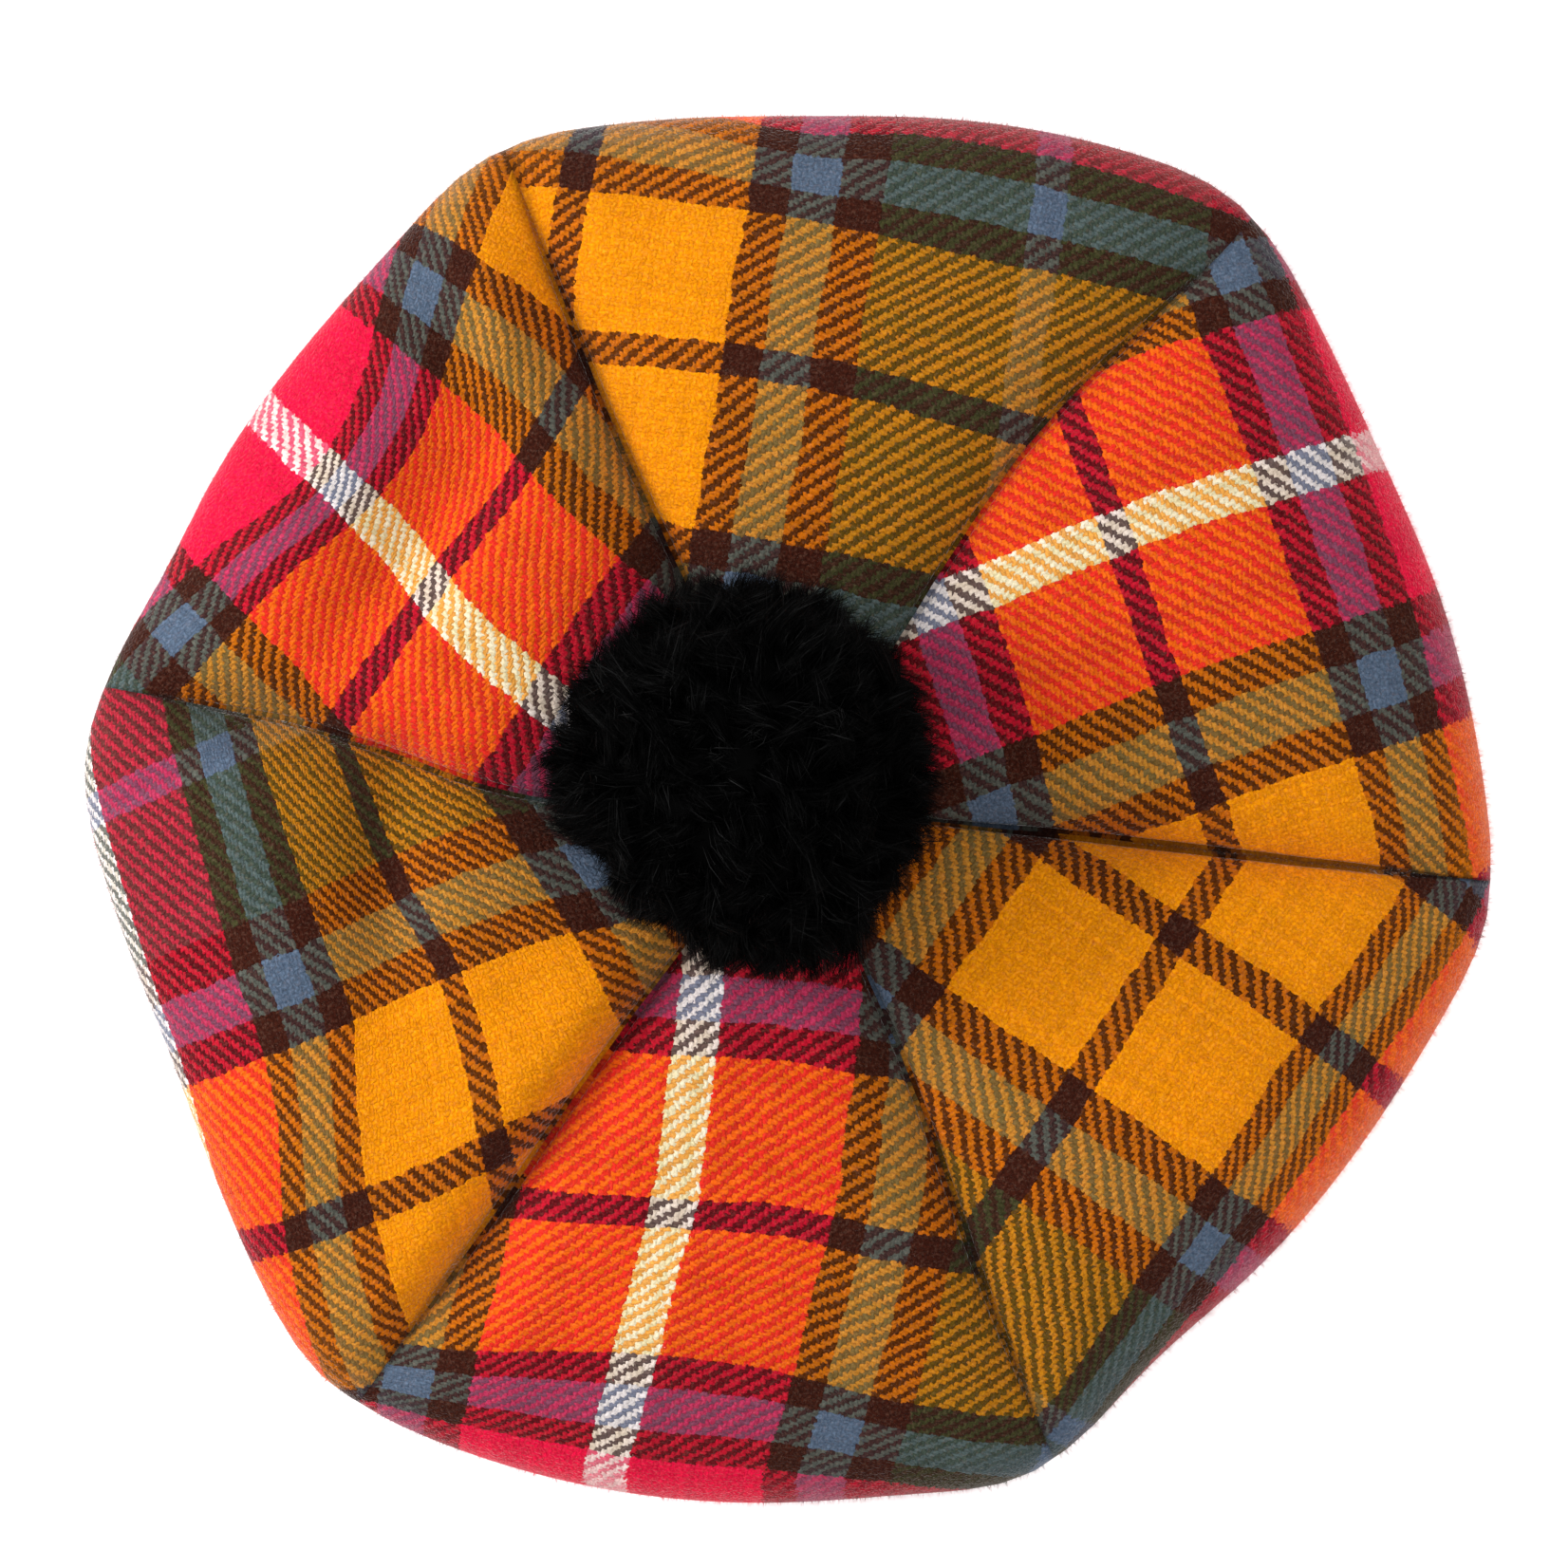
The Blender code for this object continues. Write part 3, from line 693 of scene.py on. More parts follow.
def add_node(tree, kind, inputs=None, **settings):
    """Add a node with its settings, its input values and its links. A link comes from a socket, or
    from the first output of a node."""
    node = tree.nodes.new(kind)
    for name, value in settings.items():
        setattr(node, name, value)
    for socket, value in (inputs or {}).items():
        if isinstance(value, bpy.types.Node):
            value = next(output for output in value.outputs if output.enabled)
        if isinstance(value, bpy.types.NodeSocket):
            tree.links.new(value, node.inputs[socket])
        else:
            node.inputs[socket].default_value = value
    return node


def new_material(name):
    """Start an empty material and give its node tree."""
    material = bpy.data.materials.new(name)
    material.use_nodes = True
    material.node_tree.nodes.clear()
    return material, material.node_tree


def finish_material(tree, looks):
    """Join a shader with these looks to the material's output."""
    shader = add_node(tree, "ShaderNodeBsdfPrincipled", looks)
    add_node(tree, "ShaderNodeOutputMaterial", {"Surface": shader})


def set_stripes(ramp, colours):
    """Lay the sett out along a colour ramp."""
    ramp.interpolation = "CONSTANT"
    done = 0
    for row, (colour, count) in enumerate(SETT):
        place = done / SETT_THREADS
        stop = ramp.elements[0] if row == 0 else ramp.elements.new(place)
        stop.position = place
        stop.color = (*colours[colour], 1.0)
        done += count
    ramp.elements.remove(ramp.elements[-1])


def loose_threads(tree, place, haze):
    """Give the warp and weft counts, loosened by the threads' drift and by the nap's fringe."""
    parts = []
    for per_mm in (DRIFT_PER_MM, FRINGE_PER_MM):
        noise = add_node(tree, NOISE, {"Vector": place, "Scale": per_mm / MM, "Detail": 1.0})
        inputs = {0: noise.outputs["Color"], 1: (0.5, 0.5, 0.5)}
        parts.append(add_node(tree, VECTOR, inputs, operation="SUBTRACT"))
    threads = add_node(tree, "ShaderNodeUVMap", uv_map="threads")
    drift = (DRIFT_THREADS, DRIFT_THREADS, 0.0)
    loose = add_node(tree, VECTOR, {0: parts[0], 1: drift, 2: threads}, operation="MULTIPLY_ADD")
    reach = add_node(tree, RANGE, {"Value": haze, "To Min": FRINGE_LEAST, "To Max": FRINGE_MOST})
    fringe = add_node(tree, VECTOR, {0: parts[1], "Scale": reach}, operation="SCALE")
    loose = add_node(tree, VECTOR, {0: loose, 1: fringe}, operation="ADD")
    split = add_node(tree, "ShaderNodeSeparateXYZ", {0: loose})
    return split.outputs["X"], split.outputs["Y"]


def yarn_colour(tree, row, seed, colours):
    """Give the colour of the yarn in each row of threads, some a little darker than others."""
    middle = add_node(tree, MATH, {0: row, 1: 0.5}, operation="ADD")
    turn = add_node(tree, MATH, {0: middle, 1: float(SETT_THREADS)}, operation="FLOORED_MODULO")
    share = add_node(tree, MATH, {0: turn, 1: float(SETT_THREADS)}, operation="DIVIDE")
    stripes = add_node(tree, "ShaderNodeValToRGB", {"Fac": share})
    set_stripes(stripes.color_ramp, colours)
    own = add_node(tree, MATH, {0: row, 1: seed}, operation="ADD")
    chance = add_node(tree, "ShaderNodeTexWhiteNoise", {"W": own}, noise_dimensions="1D")
    tone = add_node(tree, RANGE, {"Value": chance, "To Min": YARN_TONES[0], "To Max": YARN_TONES[1]})
    return add_node(tree, VECTOR, {0: stripes, "Scale": tone}, operation="SCALE")


def bled_colour(tree, own, other):
    """Give a yarn's colour with its share of the tint of the yarn that crosses it."""
    own_parts = add_node(tree, "ShaderNodeSeparateXYZ", {0: own}).outputs
    other_parts = add_node(tree, "ShaderNodeSeparateXYZ", {0: other}).outputs
    shares = {}
    for part, bleed in zip("XYZ", YARN_BLEED):
        take = add_node(tree, RANGE, {"Value": own_parts["Z"], "To Min": bleed, "To Max": 0.0})
        keep = add_node(tree, MATH, {0: 1.0, 1: take}, operation="SUBTRACT")
        kept = add_node(tree, MATH, {0: own_parts[part], 1: keep}, operation="POWER")
        taken = add_node(tree, MATH, {0: other_parts[part], 1: take}, operation="POWER")
        shares[part] = add_node(tree, MATH, {0: kept, 1: taken}, operation="MULTIPLY")
    return add_node(tree, "ShaderNodeCombineXYZ", shares)


def twill_relief(tree, warp, weft, warp_row, weft_row):
    """Give where the warp lies on top in a 2/2 twill, and the relief of its rounded yarns."""
    warp_part = add_node(tree, MATH, {0: warp}, operation="FRACT")
    weft_part = add_node(tree, MATH, {0: weft}, operation="FRACT")
    both = add_node(tree, MATH, {0: warp_row, 1: weft_row}, operation="ADD")
    step = add_node(tree, MATH, {0: both, 1: TWILL_REPEAT}, operation="FLOORED_MODULO")
    warp_up = add_node(tree, MATH, {0: step, 1: TWILL_FLOAT - 0.5}, operation="LESS_THAN")
    across = add_node(tree, MIX, {"Factor": warp_up, "A": weft_part, "B": warp_part})
    along = add_node(tree, MIX, {"Factor": warp_up, "A": warp_part, "B": weft_part})
    second = add_node(tree, MATH, {0: step, 1: TWILL_FLOAT}, operation="FLOORED_MODULO")
    run = add_node(tree, MATH, {0: second, 1: along}, operation="ADD")
    bend = add_node(tree, MATH, {0: run, 1: math.pi / TWILL_FLOAT}, operation="MULTIPLY")
    crest = add_node(tree, MATH, {0: bend}, operation="SINE")
    crest = add_node(tree, MATH, {0: crest, 1: CREST_POWER}, operation="POWER")
    turn = add_node(tree, MATH, {0: across, 1: math.pi}, operation="MULTIPLY")
    roundness = add_node(tree, MATH, {0: turn}, operation="SINE")
    return warp_up, add_node(tree, MATH, {0: crest, 1: roundness}, operation="MULTIPLY")


def shared_tint(tree, mixed, bled, yarns):
    """Spread one tint over unlike yarns, and take away the light that they swallow between them."""
    tint = add_node(tree, MIX, {"Factor": 0.5, "A": bled[1], "B": bled[0]}, data_type="RGBA")
    own_light = add_node(tree, VECTOR, {0: mixed, 1: LIGHTNESS}, operation="DOT_PRODUCT")
    tint_light = add_node(tree, VECTOR, {0: tint, 1: LIGHTNESS}, operation="DOT_PRODUCT")
    light = add_node(tree, MATH, {0: own_light, 1: tint_light}, operation="DIVIDE")
    tinted = add_node(tree, VECTOR, {0: tint, "Scale": light}, operation="SCALE")
    parts = [add_node(tree, "ShaderNodeSeparateXYZ", {0: yarn}).outputs for yarn in yarns]
    undyed = add_node(tree, MATH, {0: parts[0]["Z"], 1: parts[1]["Z"]}, operation="MAXIMUM")
    limits = {"From Min": UNDYED_BLUE[0], "From Max": UNDYED_BLUE[1]}
    limits.update({"To Min": TINT_SHARED, "To Max": TINT_UNDYED})
    dyed = add_node(tree, RANGE, {"Value": undyed, **limits})
    unlike = add_node(tree, MATH, {0: parts[0]["X"], 1: parts[1]["X"]}, operation="SUBTRACT")
    unlike = add_node(tree, MATH, {0: unlike}, operation="ABSOLUTE")
    shared = add_node(tree, RANGE, {"Value": unlike, "To Min": TINT_ALIKE, "To Max": 1.0})
    shared = add_node(tree, MATH, {0: shared, 1: dyed}, operation="MULTIPLY")
    mixed = add_node(tree, MIX, {"Factor": shared, "A": mixed, "B": tinted}, data_type="RGBA")
    swallowed = add_node(tree, MATH, {0: unlike, 1: shared}, operation="MULTIPLY")
    loss = add_node(tree, VECTOR, {0: YARN_LOSS, "Scale": swallowed}, operation="SCALE")
    kept = add_node(tree, VECTOR, {0: (1.0, 1.0, 1.0), 1: loss}, operation="SUBTRACT")
    return add_node(tree, VECTOR, {0: mixed, 1: kept}, operation="MULTIPLY")


def fibre_tones(tree, place, flat, relief):
    """Shade a flat colour by the yarns' relief, and lay fuzz, glow and lint on it. Give the colour
    and the fuzz's noise."""
    inputs = {"Vector": place, "Scale": FIBRES_PER_MM / MM, "Detail": 3.0, "Roughness": 0.75}
    fibres = add_node(tree, NOISE, inputs)
    limits = {"From Min": FUZZ_NOISE[0], "From Max": FUZZ_NOISE[1]}
    limits.update({"To Min": FUZZ_TONES[0], "To Max": FUZZ_TONES[1]})
    fuzz = add_node(tree, RANGE, {"Value": fibres, **limits})
    # Painted shade: the colour is darker in the gaps between the yarns, by their relief
    tone = {"Value": relief, "To Min": RELIEF_TONES[0], "To Max": RELIEF_TONES[1]}
    shade = add_node(tree, MATH, {0: add_node(tree, RANGE, tone), 1: fuzz}, operation="MULTIPLY")
    shaded = add_node(tree, VECTOR, {0: flat, "Scale": shade}, operation="SCALE")
    gap = add_node(tree, MATH, {0: 1.0, 1: shade}, operation="SUBTRACT")
    gap = add_node(tree, MATH, {0: gap, 1: GLOW_IN_GAPS}, operation="MULTIPLY")
    glow = add_node(tree, VECTOR, {0: flat, 1: flat}, operation="MULTIPLY")
    glow = add_node(tree, VECTOR, {0: glow, "Scale": gap}, operation="SCALE")
    colour = add_node(tree, VECTOR, {0: shaded, 1: glow}, operation="ADD")
    inputs = {"Vector": place, "Scale": LINT_PER_MM / MM, "Detail": 2.0, "Roughness": 0.7}
    stray = add_node(tree, NOISE, inputs)
    stray = add_node(tree, RANGE, {"Value": stray, "From Min": LINT_NOISE[0], "From Max": LINT_NOISE[1]})
    lint = add_node(tree, VECTOR, {0: LINT_COLOUR, "Scale": stray}, operation="SCALE")
    return add_node(tree, VECTOR, {0: colour, 1: lint}, operation="ADD"), fibres


def tartan_twill(name, colours):
    """Fulled wool twill: soft yarns pass over two and under two, so the colours mix in slanting ribs, and
    the milled nap softens every edge and lights up where the cloth turns away, by its sheen and by a painted
    sheen near the rim. Painted shade darkens the seams' creases and the gaps between the yarns."""
    material, tree = new_material(name)
    place = add_node(tree, "ShaderNodeTexCoord").outputs["Object"]
    haze = add_node(tree, "ShaderNodeAttribute", attribute_name="haze").outputs["Fac"]
    warp, weft = loose_threads(tree, place, haze)
    warp_row = add_node(tree, MATH, {0: warp}, operation="FLOOR")
    weft_row = add_node(tree, MATH, {0: weft}, operation="FLOOR")
    warp_up, relief = twill_relief(tree, warp, weft, warp_row, weft_row)
    yarns = [
        yarn_colour(tree, warp_row, WARP_SEED, colours),
        yarn_colour(tree, weft_row, WEFT_SEED, colours),
    ]
    bled = [bled_colour(tree, own, other) for own, other in (yarns, yarns[::-1])]
    upper = add_node(tree, RANGE, {"Value": warp_up, "To Min": WARP_SHOWS[0], "To Max": WARP_SHOWS[1]})
    mixed = add_node(tree, MIX, {"Factor": upper, "A": bled[1], "B": bled[0]}, data_type="RGBA")
    mixed = shared_tint(tree, mixed, bled, yarns)
    # Near the rim the colour is painted as the plain mean of both yarns: partly the nap hiding the weave,
    # partly a painted sheen, lighter than the weave's own mix
    nap = add_node(tree, MIX, {"Factor": 0.5, "A": yarns[0], "B": yarns[1]}, data_type="RGBA")
    flat = add_node(tree, MIX, {"Factor": haze, "A": mixed, "B": nap}, data_type="RGBA")
    colour, fibres = fibre_tones(tree, place, flat, relief)
    # Painted shade: the colour is darkened along each seam's crease, by the crease mark
    crease = add_node(tree, "ShaderNodeAttribute", attribute_name="crease").outputs["Fac"]
    lit = add_node(tree, MATH, {0: 1.0, 1: crease}, operation="SUBTRACT")
    colour = add_node(tree, VECTOR, {0: colour, "Scale": lit}, operation="SCALE")
    height = add_node(tree, MATH, {0: fibres, 1: FUZZ_RELIEF, 2: relief}, operation="MULTIPLY_ADD")
    bump = add_node(tree, "ShaderNodeBump", {"Strength": 0.6, "Distance": YARN_RELIEF, "Height": height})
    looks = {
        "Base Color": colour,
        "Roughness": 0.88,
        "Specular IOR Level": 0.05,
        "Sheen Weight": 0.5,
        "Sheen Roughness": 0.3,
        "Sheen Tint": (1.0, 0.96, 0.94, 1.0),
        "Normal": bump,
    }
    finish_material(tree, looks)
    return material


def black_wool_yarn(name, colour):
    """Cut black wool yarn: deep black and dull, with a faint grey gleam painted on single fibres as a
    painted highlight.
    """
    material, tree = new_material(name)
    place = add_node(tree, "ShaderNodeTexCoord").outputs["Object"]
    fibre = add_node(tree, "ShaderNodeUVMap", uv_map="threads")
    own = add_node(tree, "ShaderNodeSeparateXYZ", {0: fibre})
    clumps = add_node(tree, NOISE, {"Vector": place, "Scale": CLUMPS_PER_MM / MM, "Detail": 2.0})
    # Painted highlight on the few fibres whose random value is high
    gleam = add_node(tree, MATH, {0: own, 1: GLEAM_RARITY}, operation="POWER")
    tone = add_node(tree, MATH, {0: gleam, 1: GLEAM_STRENGTH, 2: clumps}, operation="MULTIPLY_ADD")
    paint = add_node(tree, VECTOR, {0: colour, "Scale": tone}, operation="SCALE")
    finish_material(tree, {"Base Color": paint, "Roughness": 0.6, "Specular IOR Level": 0.03})
    return material


def lit_table(name, colour):
    """Opal acrylic of a light table: matt white, and lit from below so that no shadow shows."""
    material, tree = new_material(name)
    place = add_node(tree, "ShaderNodeTexCoord").outputs["Object"]
    grain = add_node(tree, NOISE, {"Vector": place, "Scale": TABLE_GRAIN_PER_MM / MM, "Detail": 2.0})
    tone = add_node(tree, RANGE, {"Value": grain, "To Min": 0.99, "To Max": 1.01})
    paint = add_node(tree, VECTOR, {0: colour, "Scale": tone}, operation="SCALE")
    looks = {
        "Base Color": paint,
        "Roughness": 0.95,
        "Specular IOR Level": 0.1,
        "Emission Color": paint,
        "Emission Strength": 0.6,
    }
    finish_material(tree, looks)
    return material


def tartan_material():
    """Give the tartan, made once and shared by all that is cut from it."""
    found = bpy.data.materials.get("fulled_wool_tartan")
    if found:
        return found
    tints = bpy.context.scene.tam_colours
    colours = {colour: tuple(getattr(tints, colour)) for colour, count in SETT}
    return tartan_twill("fulled_wool_tartan", colours)


def pile_triangles(roots, tips, width, chance):
    """Give the points of one thin triangle for each fibre, from its root to its tip."""
    side = 0.5 * width * unit(np.cross(tips - roots, chance.normal(size=roots.shape)))
    return np.stack([roots - side, roots + side, tips], axis=1)


def groove_fade(rows):
    """Give each row's share of the groove at the seams. It closes at the rim and at both ends, and
    is shallow underneath."""
    top = 1.0 - smoothstep(*GROOVE_CLOSES, np.linspace(0.0, 1.0, rows - STEPS_UNDER))
    under = UNDER_GROOVE * smoothstep(*GROOVE_OPENS, np.linspace(0.0, 1.0, STEPS_UNDER))
    fade = np.concatenate([top, under])
    fade[0] = 0.0
    fade[-len(LIP_ROWS) - 1 :] = 0.0
    return fade


def rim_nap_and_sheen(places):
    """Give how much the nap hides the weave, and how much a painted sheen makes the cloth paler, at a gore's
    points.
    """
    out = np.linalg.norm((places - CROWN_CENTRE)[..., :2], axis=-1)
    turn = np.arctan2(places[..., 1], places[..., 0]) - math.radians(HAZE_SIDE_DEG)
    side = mix(HAZE_LEAST, 1.0, 0.5 + 0.5 * np.cos(turn))
    return side * bell((out.max(axis=0) - out) / HAZE_WIDTH)


def gore_nap(outer, normals, near, threads, haze, chance):
    """Stand short fibres on a gore, fewer in its seams. Give their points and thread counts."""
    sizes = bpy.context.scene.tam_sizes
    cell = np.cross(outer[1:, :-1] - outer[:-1, :-1], outer[:-1, 1:] - outer[:-1, :-1])
    weight = (np.linalg.norm(cell, axis=-1) * (1.0 - bell(near / ROLL_WIDTH))[1:, 1:]).ravel()
    count = sizes.nap_fibres // len(SEAMS)
    chosen = chance.choice(weight.size, count, p=weight / weight.sum())
    row, column = np.unravel_index(chosen, cell.shape[:2])
    u = chance.random(count)[:, None]
    v = chance.random(count)[:, None]
    near_edge = mix(outer[row, column], outer[row, column + 1], u)
    root = mix(near_edge, mix(outer[row + 1, column], outer[row + 1, column + 1], u), v)
    thread = mix(mix(threads[row, column], threads[row, column + 1], u), threads[row + 1, column], v)
    normal = normals[row, column]
    aim = unit(unit(normal + NAP_LEAN * chance.normal(size=root.shape)) + NAP_LIFT * normal)
    length = sizes.nap_length * chance.uniform(*NAP_LENGTHS, (count, 1))
    tip = root + length * (1.0 + NAP_AT_RIM * haze[row, column][:, None]) * aim
    fibres = pile_triangles(root - NAP_ROOT * normal, tip, NAP_WIDTH, chance)
    return fibres, np.repeat(thread[:, None, :], 3, axis=1)


def build_gores():
    """Build the six gores of the crown, and the short nap that stands on them."""
    grids = [gore_grid(index) for index in range(len(SEAMS))]
    material = tartan_material()
    chance = np.random.default_rng(NAP_SEED)
    nap = []
    for index, (places, threads, across, width) in enumerate(grids):
        after = (index + 1) % len(grids)
        normals = grid_normals(places, grids[index - 1][0], grids[after][0])
        near = np.minimum(across, 1.0 - across) * width
        groove = GROOVE_DEPTH * np.exp(-near / GROOVE_WIDTH) + ROLL_DEPTH * bell(near / ROLL_WIDTH)
        groove *= groove_fade(len(groove))[:, None]
        # Painted shade along each seam's crease, as dark and as wide as the seam on that side says
        shade = np.where(across < 0.5, CREASE_SHADES[index], CREASE_SHADES[after])
        spread = np.where(across < 0.5, CREASE_WIDTHS[index], CREASE_WIDTHS[after])
        outer = places - groove[..., None] * normals
        inner = outer - CLOTH_THICKNESS * normals
        points = np.concatenate([outer, inner])
        name = f"gore_{index + 1}"
        piece = link_mesh(name + "_cloth", points, shell_faces(*across.shape), np.concatenate([threads] * 2))
        piece.data.set_sharp_from_angle(angle=math.radians(SHARP_ANGLE_DEG))
        # haze marks where the nap hides the weave and a painted sheen makes the rim paler
        marks = {"crease": shade * bell(near / spread), "haze": rim_nap_and_sheen(places)}
        for label, values in marks.items():
            mark = piece.data.attributes.new(label, "FLOAT", "POINT")
            mark.data.foreach_set("value", np.tile(values.ravel(), 2).astype(np.float32))
        piece.data.materials.append(material)
        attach(piece, BODY)
        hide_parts(name)
        nap.append(gore_nap(outer, normals, near, threads, marks["haze"], chance))
    fibres, fibre_threads = (np.concatenate(part) for part in zip(*nap))
    faces = np.arange(3 * len(fibres)).reshape(-1, 3)
    piece = link_mesh("crown_nap", fibres, faces, fibre_threads, smooth=False)
    piece.data.materials.append(material)
    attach(piece, BODY)


def band_section():
    """List the head band's section, out from its inner side and up, round from the fold."""
    section = []
    for k in range(FOLD_STEPS + 1):
        angle = math.pi * (1.0 + k / FOLD_STEPS)
        section.append((0.5 * BAND_WALL * (1.0 + math.cos(angle)), BAND_FOLD * (1.0 + math.sin(angle))))
    top = BAND_HEIGHT - BAND_EDGE
    section += [(BAND_WALL, mix(BAND_FOLD, top, (k + 1) / BAND_ROWS)) for k in range(BAND_ROWS)]
    section += [(BAND_WALL - BAND_EDGE, BAND_HEIGHT), (BAND_EDGE, BAND_HEIGHT)]
    section += [(0.0, mix(top, BAND_FOLD, k / BAND_ROWS)) for k in range(BAND_ROWS)]
    return np.array(section)


def build_head_band():
    """Build the head band: a doubled strip of the tartan, folded at its lower edge."""
    section = band_section()
    walk = np.concatenate([[0.0], np.cumsum(np.linalg.norm(np.diff(section, axis=0), axis=1))])
    turn = np.linspace(0.0, 360.0, BAND_STEPS, endpoint=False)
    angle = np.radians(turn)
    ripple = BAND_RIPPLE * np.sin(angle * RIPPLES[0]) * np.sin(angle * RIPPLES[1] + 1.0)
    out = section[:, :1]
    up = section[:, 1:]
    points = (BAND_INNER_RADIUS + out + ripple * up / BAND_HEIGHT)[..., None] * heading(turn)
    points[..., 2] = up
    index = np.arange(points.shape[0] * BAND_STEPS).reshape(-1, BAND_STEPS)
    below = np.roll(index, -1, axis=0)
    faces = np.stack([index, np.roll(index, -1, axis=1), np.roll(below, -1, axis=1), below], axis=-1)
    threads = np.zeros(points.shape[:2] + (2,))
    threads[..., 0] = angle * BAND_OUTER_RADIUS / THREAD_ACROSS
    threads[..., 1] = (walk / THREAD_OUT)[:, None] + BAND_FIRST_THREAD
    piece = link_mesh("head_band_cloth", points, faces.reshape(-1, 4), threads)
    corners = np.zeros(len(piece.data.loops) * 2, np.float32)
    layer = piece.data.uv_layers["threads"]
    layer.data.foreach_get("uv", corners)
    loops = corners.reshape(-1, 4, 2)
    whole = 2.0 * math.pi * BAND_OUTER_RADIUS / THREAD_ACROSS
    last = loops[..., 0].max(axis=1) - loops[..., 0].min(axis=1) > 0.5 * whole
    wrap = last[:, None] & (loops[..., 0] < 0.5 * whole)
    loops[..., 0] = np.where(wrap, loops[..., 0] + whole, loops[..., 0])
    layer.data.foreach_set("uv", loops.astype(np.float32).ravel())
    piece.data.materials.append(tartan_material())
    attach(piece, BODY)
    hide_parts("head_band")


def crown_height_under(places):
    """Give the height of the crown's upper side under points."""
    offset = places - CROWN_CENTRE
    radius = np.hypot(offset[:, 0], offset[:, 1])
    degrees = np.degrees(np.arctan2(offset[:, 1], offset[:, 0]))
    fraction = np.maximum(radius / soft_rim_at(degrees)[0], CROWN_HOLE)
    degrees = (degrees - seam_degrees(0, fraction)) % 360.0 + seam_degrees(0, fraction)
    height = np.zeros_like(radius)
    for index in range(len(SEAMS)):
        low = seam_degrees(index, fraction)
        high = seam_degrees(index + 1, fraction)
        inside = (degrees >= low) & (degrees < high)
        across = ((degrees - low) / (high - low))[inside]
        height[inside] = crown_top(index, across, fraction[inside])[0][:, 2]
    return height


def pompom_reach(out):
    """Give the pompom's reach in each direction, pressed in and swollen as its puffs say."""
    degrees = np.degrees(np.arctan2(out[:, 1], out[:, 0]))
    level = np.clip(1.0 - PUFF_SHOULDER * np.abs(out[:, 2]), 0.0, None)
    reach = np.ones(len(out))
    for puff in PUFFS:
        turn = (degrees - puff.deg + 180.0) % 360.0 - 180.0
        reach += puff.swell * level * bell(turn / puff.spread_deg)
    return POMPOM_RADIUS * reach[:, None] * out * np.array((1.0, 1.0, POMPOM_SQUASH))


def ball_directions(count):
    """Spread directions evenly over a ball, along a spiral."""
    k = np.arange(count) + 0.5
    z = 1.0 - 2.0 * k / count
    turn = math.pi * (1.0 + math.sqrt(5.0)) * k
    flat = np.sqrt(1.0 - z * z)
    return np.stack([flat * np.cos(turn), flat * np.sin(turn), z], axis=-1)


def build_pompom():
    """Build the pompom: a dark core, and the pile of its cut yarn ends, each opened to a brush."""
    sizes = bpy.context.scene.tam_sizes
    chance = np.random.default_rng(PILE_SEED)
    centre = POMPOM_CENTRE.copy()
    centre[2] = crown_height_under(centre[None, :])[0] + (1.0 - POMPOM_SINK) * POMPOM_SQUASH * POMPOM_RADIUS
    material = black_wool_yarn("cut_wool_yarn", tuple(bpy.context.scene.tam_colours.pompom))
    bpy.ops.mesh.primitive_ico_sphere_add(subdivisions=CORE_SUBDIVISIONS, radius=1.0)
    core = bpy.context.object
    core.name = "pompom_core"
    core.data.name = "pompom_core"
    places = np.zeros(len(core.data.vertices) * 3)
    core.data.vertices.foreach_get("co", places)
    places = centre + CORE_SHARE * pompom_reach(places.reshape(-1, 3))
    places[:, 2] = np.maximum(places[:, 2], crown_height_under(places) + SEAT_GAP)
    core.data.vertices.foreach_set("co", places.ravel())
    core.data.shade_smooth()
    core.data.materials.append(material)
    scatter = END_SCATTER * chance.normal(size=(sizes.yarn_ends, 3))
    ends = unit(ball_directions(sizes.yarn_ends) + scatter)
    lean = unit(ends + END_LEAN * chance.normal(size=ends.shape))
    reach = chance.normal(1.0, END_UNEVEN, len(ends))
    home = np.repeat(np.arange(sizes.yarn_ends), sizes.fibres_an_end)
    count = len(home)
    base = unit(ends[home] + FIBRE_SCATTER * chance.normal(size=(count, 3)))
    aim = unit(lean[home] + FIBRE_SPREAD * chance.normal(size=(count, 3)))
    length = reach[home] * chance.normal(FIBRE_REACH, FIBRE_UNEVEN, count)
    stray = chance.random(count) < STRAY_SHARE
    length = np.where(stray, length * chance.uniform(1.0, STRAY_REACH, count), length)[:, None]
    root = centre + (CORE_SHARE - ROOT_INSET) * pompom_reach(base)
    middle = centre + mix(CORE_SHARE, length, BEND_SHARE) * pompom_reach(unit(base + aim))
    middle += FIBRE_CRIMP * chance.normal(size=middle.shape)
    tip = centre + length * pompom_reach(aim)
    for layer, lift in zip((root, middle, tip), FIBRE_LIFTS):
        layer[:, 2] = np.maximum(layer[:, 2], crown_height_under(layer) + lift)
    side = 0.5 * sizes.strand_width * unit(np.cross(tip - root, chance.normal(size=root.shape)))
    thin = BEND_TAPER * side
    strip = np.stack([root - side, root + side, middle - thin, middle + thin, tip], axis=1)
    start = 5 * np.arange(count)[:, None]
    faces = np.concatenate([start + np.array(corners) for corners in ((0, 1, 3), (0, 3, 2), (2, 3, 4))])
    # A random value for each fibre, which picks the fibres that get the painted highlight
    shade = np.repeat(chance.random((count, 1, 1)), 5, axis=1) * np.ones((1, 1, 2))
    pile = link_mesh("pompom_pile", strip, faces, shade, smooth=False)
    pile.data.materials.append(material)
    for piece in (core, pile):
        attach(piece, BODY)
    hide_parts("pompom")


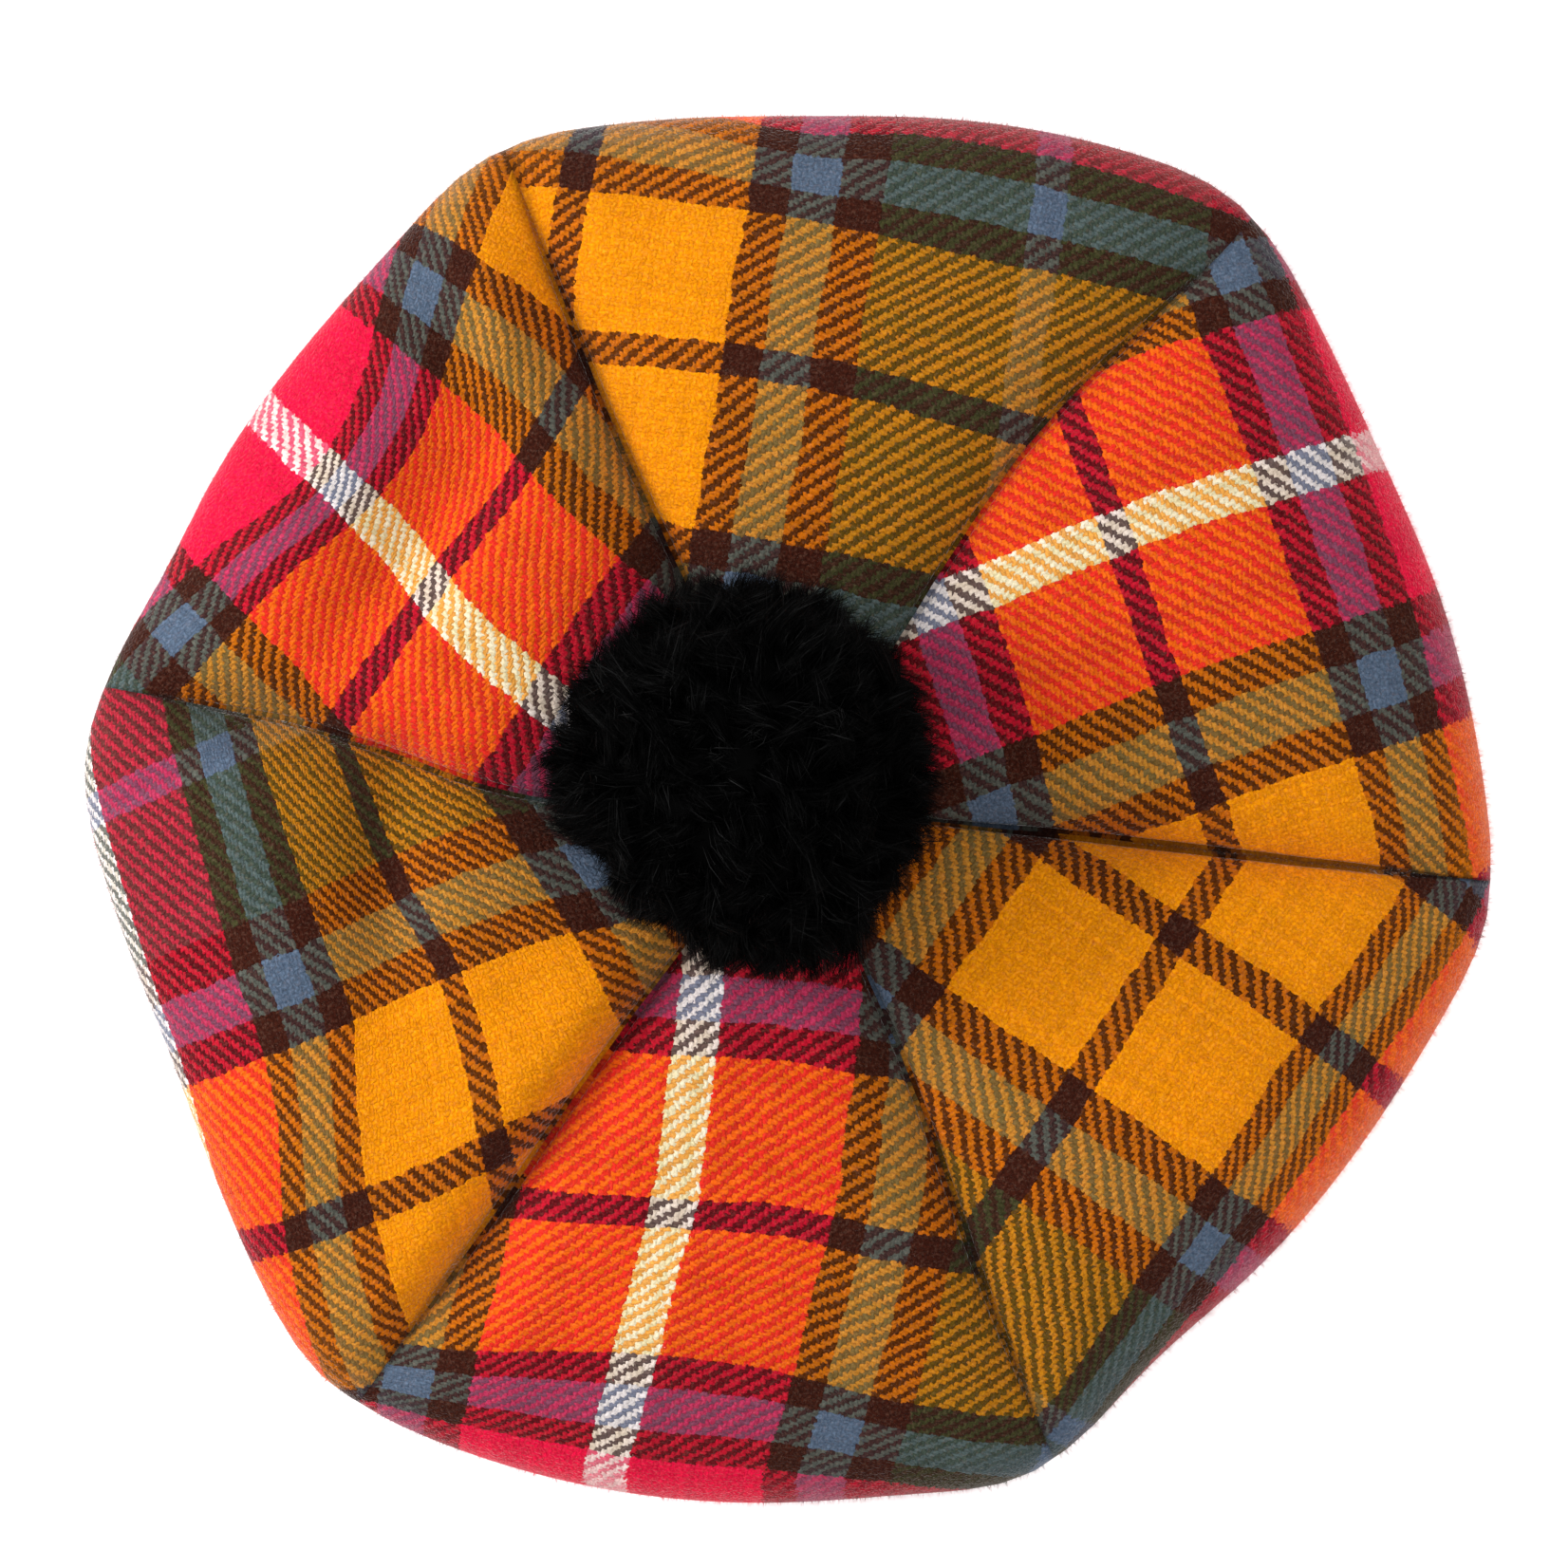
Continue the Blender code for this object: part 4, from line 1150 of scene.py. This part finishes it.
def add_light(lamp):
    """Add one soft box that faces the hat."""
    data = bpy.data.lights.new(lamp.name, "AREA")
    data.shape = "DISK"
    data.size = lamp.size
    data.energy = lamp.power
    piece = bpy.data.objects.new(lamp.name, data)
    bpy.context.scene.collection.objects.link(piece)
    piece.location = lamp.place
    x, y, z = np.array(LAMP_TARGET) - np.array(lamp.place)
    piece.rotation_euler = (math.atan2(math.hypot(x, y), -z), 0.0, math.atan2(y, x) - 0.5 * math.pi)


def build_stage():
    """Lay out the pale floor, the soft light and the camera straight above the hat."""
    scene = bpy.context.scene
    sizes = scene.tam_sizes
    bpy.ops.mesh.primitive_plane_add(size=FLOOR_SIZE)
    floor = bpy.context.object
    floor.name = "floor"
    floor.data.materials.append(lit_table("opal_light_table", colour_from_hex(TABLE_COLOUR)))
    world = bpy.data.worlds.new("soft_room")
    world.use_nodes = True
    world.node_tree.nodes["Background"].inputs["Color"].default_value = (1.0, 1.0, 1.0, 1.0)
    world.node_tree.nodes["Background"].inputs["Strength"].default_value = ROOM_LIGHT
    scene.world = world
    for lamp in LAMPS:
        add_light(lamp)
    data = bpy.data.cameras.new("camera")
    camera = bpy.data.objects.new("camera", data)
    scene.collection.objects.link(camera)
    pixel = MM_PER_PIXEL * MM
    camera.location = (
        (0.5 * IMAGE_SIZE - CROWN_PIXEL[0]) * pixel + CROWN_CENTRE[0],
        (CROWN_PIXEL[1] - 0.5 * IMAGE_SIZE) * pixel + CROWN_CENTRE[1],
        RIM_SIDES[0].waist_height + sizes.camera_distance,
    )
    data.sensor_width = SENSOR_WIDTH
    data.lens = SENSOR_WIDTH * sizes.camera_distance / (IMAGE_SIZE * pixel)
    data.clip_end = CLIP_END
    scene.camera = camera
    scene.view_settings.view_transform = "Standard"


class TamSizes(bpy.types.PropertyGroup):
    """Sizes of the fine parts of the hat and of its picture."""

    nap_fibres: bpy.props.IntProperty(
        name="Nap fibres", description="Short fibres that stand on the cloth", default=190000, min=0
    )
    nap_length: bpy.props.FloatProperty(
        name="Nap length", description="Mean height of the cloth's nap", default=0.9 * MM, unit="LENGTH"
    )
    yarn_ends: bpy.props.IntProperty(
        name="Yarn ends", description="Cut ends of yarn in the pompom", default=1100, min=100
    )
    fibres_an_end: bpy.props.IntProperty(
        name="Fibres an end", description="Fibres that each cut end opens to", default=58, min=1
    )
    strand_width: bpy.props.FloatProperty(
        name="Strand width", description="Width of one tuft of fibres", default=0.2 * MM, unit="LENGTH"
    )
    camera_distance: bpy.props.FloatProperty(
        name="Camera distance", description="From the camera down to the rim", default=1.4, unit="LENGTH"
    )


class TamColours(bpy.types.PropertyGroup):
    """Yarn colours of the tartan and the pompom."""

    __annotations__ = {
        yarn.name: bpy.props.FloatVectorProperty(
            name=yarn.name.title(), description=yarn.use, subtype="COLOR", default=colour_from_hex(yarn.code)
        )
        for yarn in YARNS
    }


class TAM_OT_gores(bpy.types.Operator):
    """Build the six gores of the crown"""

    bl_idname = "tam.gores"
    bl_label = "Build Gores"

    def execute(self, context):
        build_gores()
        return {"FINISHED"}


class TAM_OT_head_band(bpy.types.Operator):
    """Build the head band"""

    bl_idname = "tam.head_band"
    bl_label = "Build Head Band"

    def execute(self, context):
        build_head_band()
        return {"FINISHED"}


class TAM_OT_pompom(bpy.types.Operator):
    """Build the pompom"""

    bl_idname = "tam.pompom"
    bl_label = "Build Pompom"

    def execute(self, context):
        build_pompom()
        return {"FINISHED"}


class TAM_OT_stage(bpy.types.Operator):
    """Build the floor, lights and camera"""

    bl_idname = "tam.stage"
    bl_label = "Build Stage"

    def execute(self, context):
        build_stage()
        return {"FINISHED"}


OPERATORS = (TAM_OT_gores, TAM_OT_head_band, TAM_OT_pompom, TAM_OT_stage)


class TAM_PT_panel(bpy.types.Panel):
    """Sidebar panel with the hat's sizes, colours and build steps"""

    bl_label = "Tam o' Shanter"
    bl_idname = "TAM_PT_panel"
    bl_space_type = "VIEW_3D"
    bl_region_type = "UI"
    bl_category = "Tam"

    def draw(self, context):
        for group in (context.scene.tam_sizes, context.scene.tam_colours):
            for name in group.__annotations__:
                self.layout.prop(group, name)
        for operator in OPERATORS:
            self.layout.operator(operator.bl_idname)


CLASSES = (TamSizes, TamColours, *OPERATORS, TAM_PT_panel)


def register():
    """Register the classes and the scene's settings."""
    for item in CLASSES:
        bpy.utils.register_class(item)
    bpy.types.Scene.tam_sizes = bpy.props.PointerProperty(type=TamSizes)
    bpy.types.Scene.tam_colours = bpy.props.PointerProperty(type=TamColours)


def unregister():
    """Take away what register added."""
    del bpy.types.Scene.tam_colours
    del bpy.types.Scene.tam_sizes
    for item in reversed(CLASSES):
        bpy.utils.unregister_class(item)


def main():
    """Build the hat and its stage."""
    register()
    bpy.ops.tam.gores()
    bpy.ops.tam.head_band()
    bpy.ops.tam.pompom()
    bpy.ops.tam.stage()


if __name__ == "__main__":
    main()
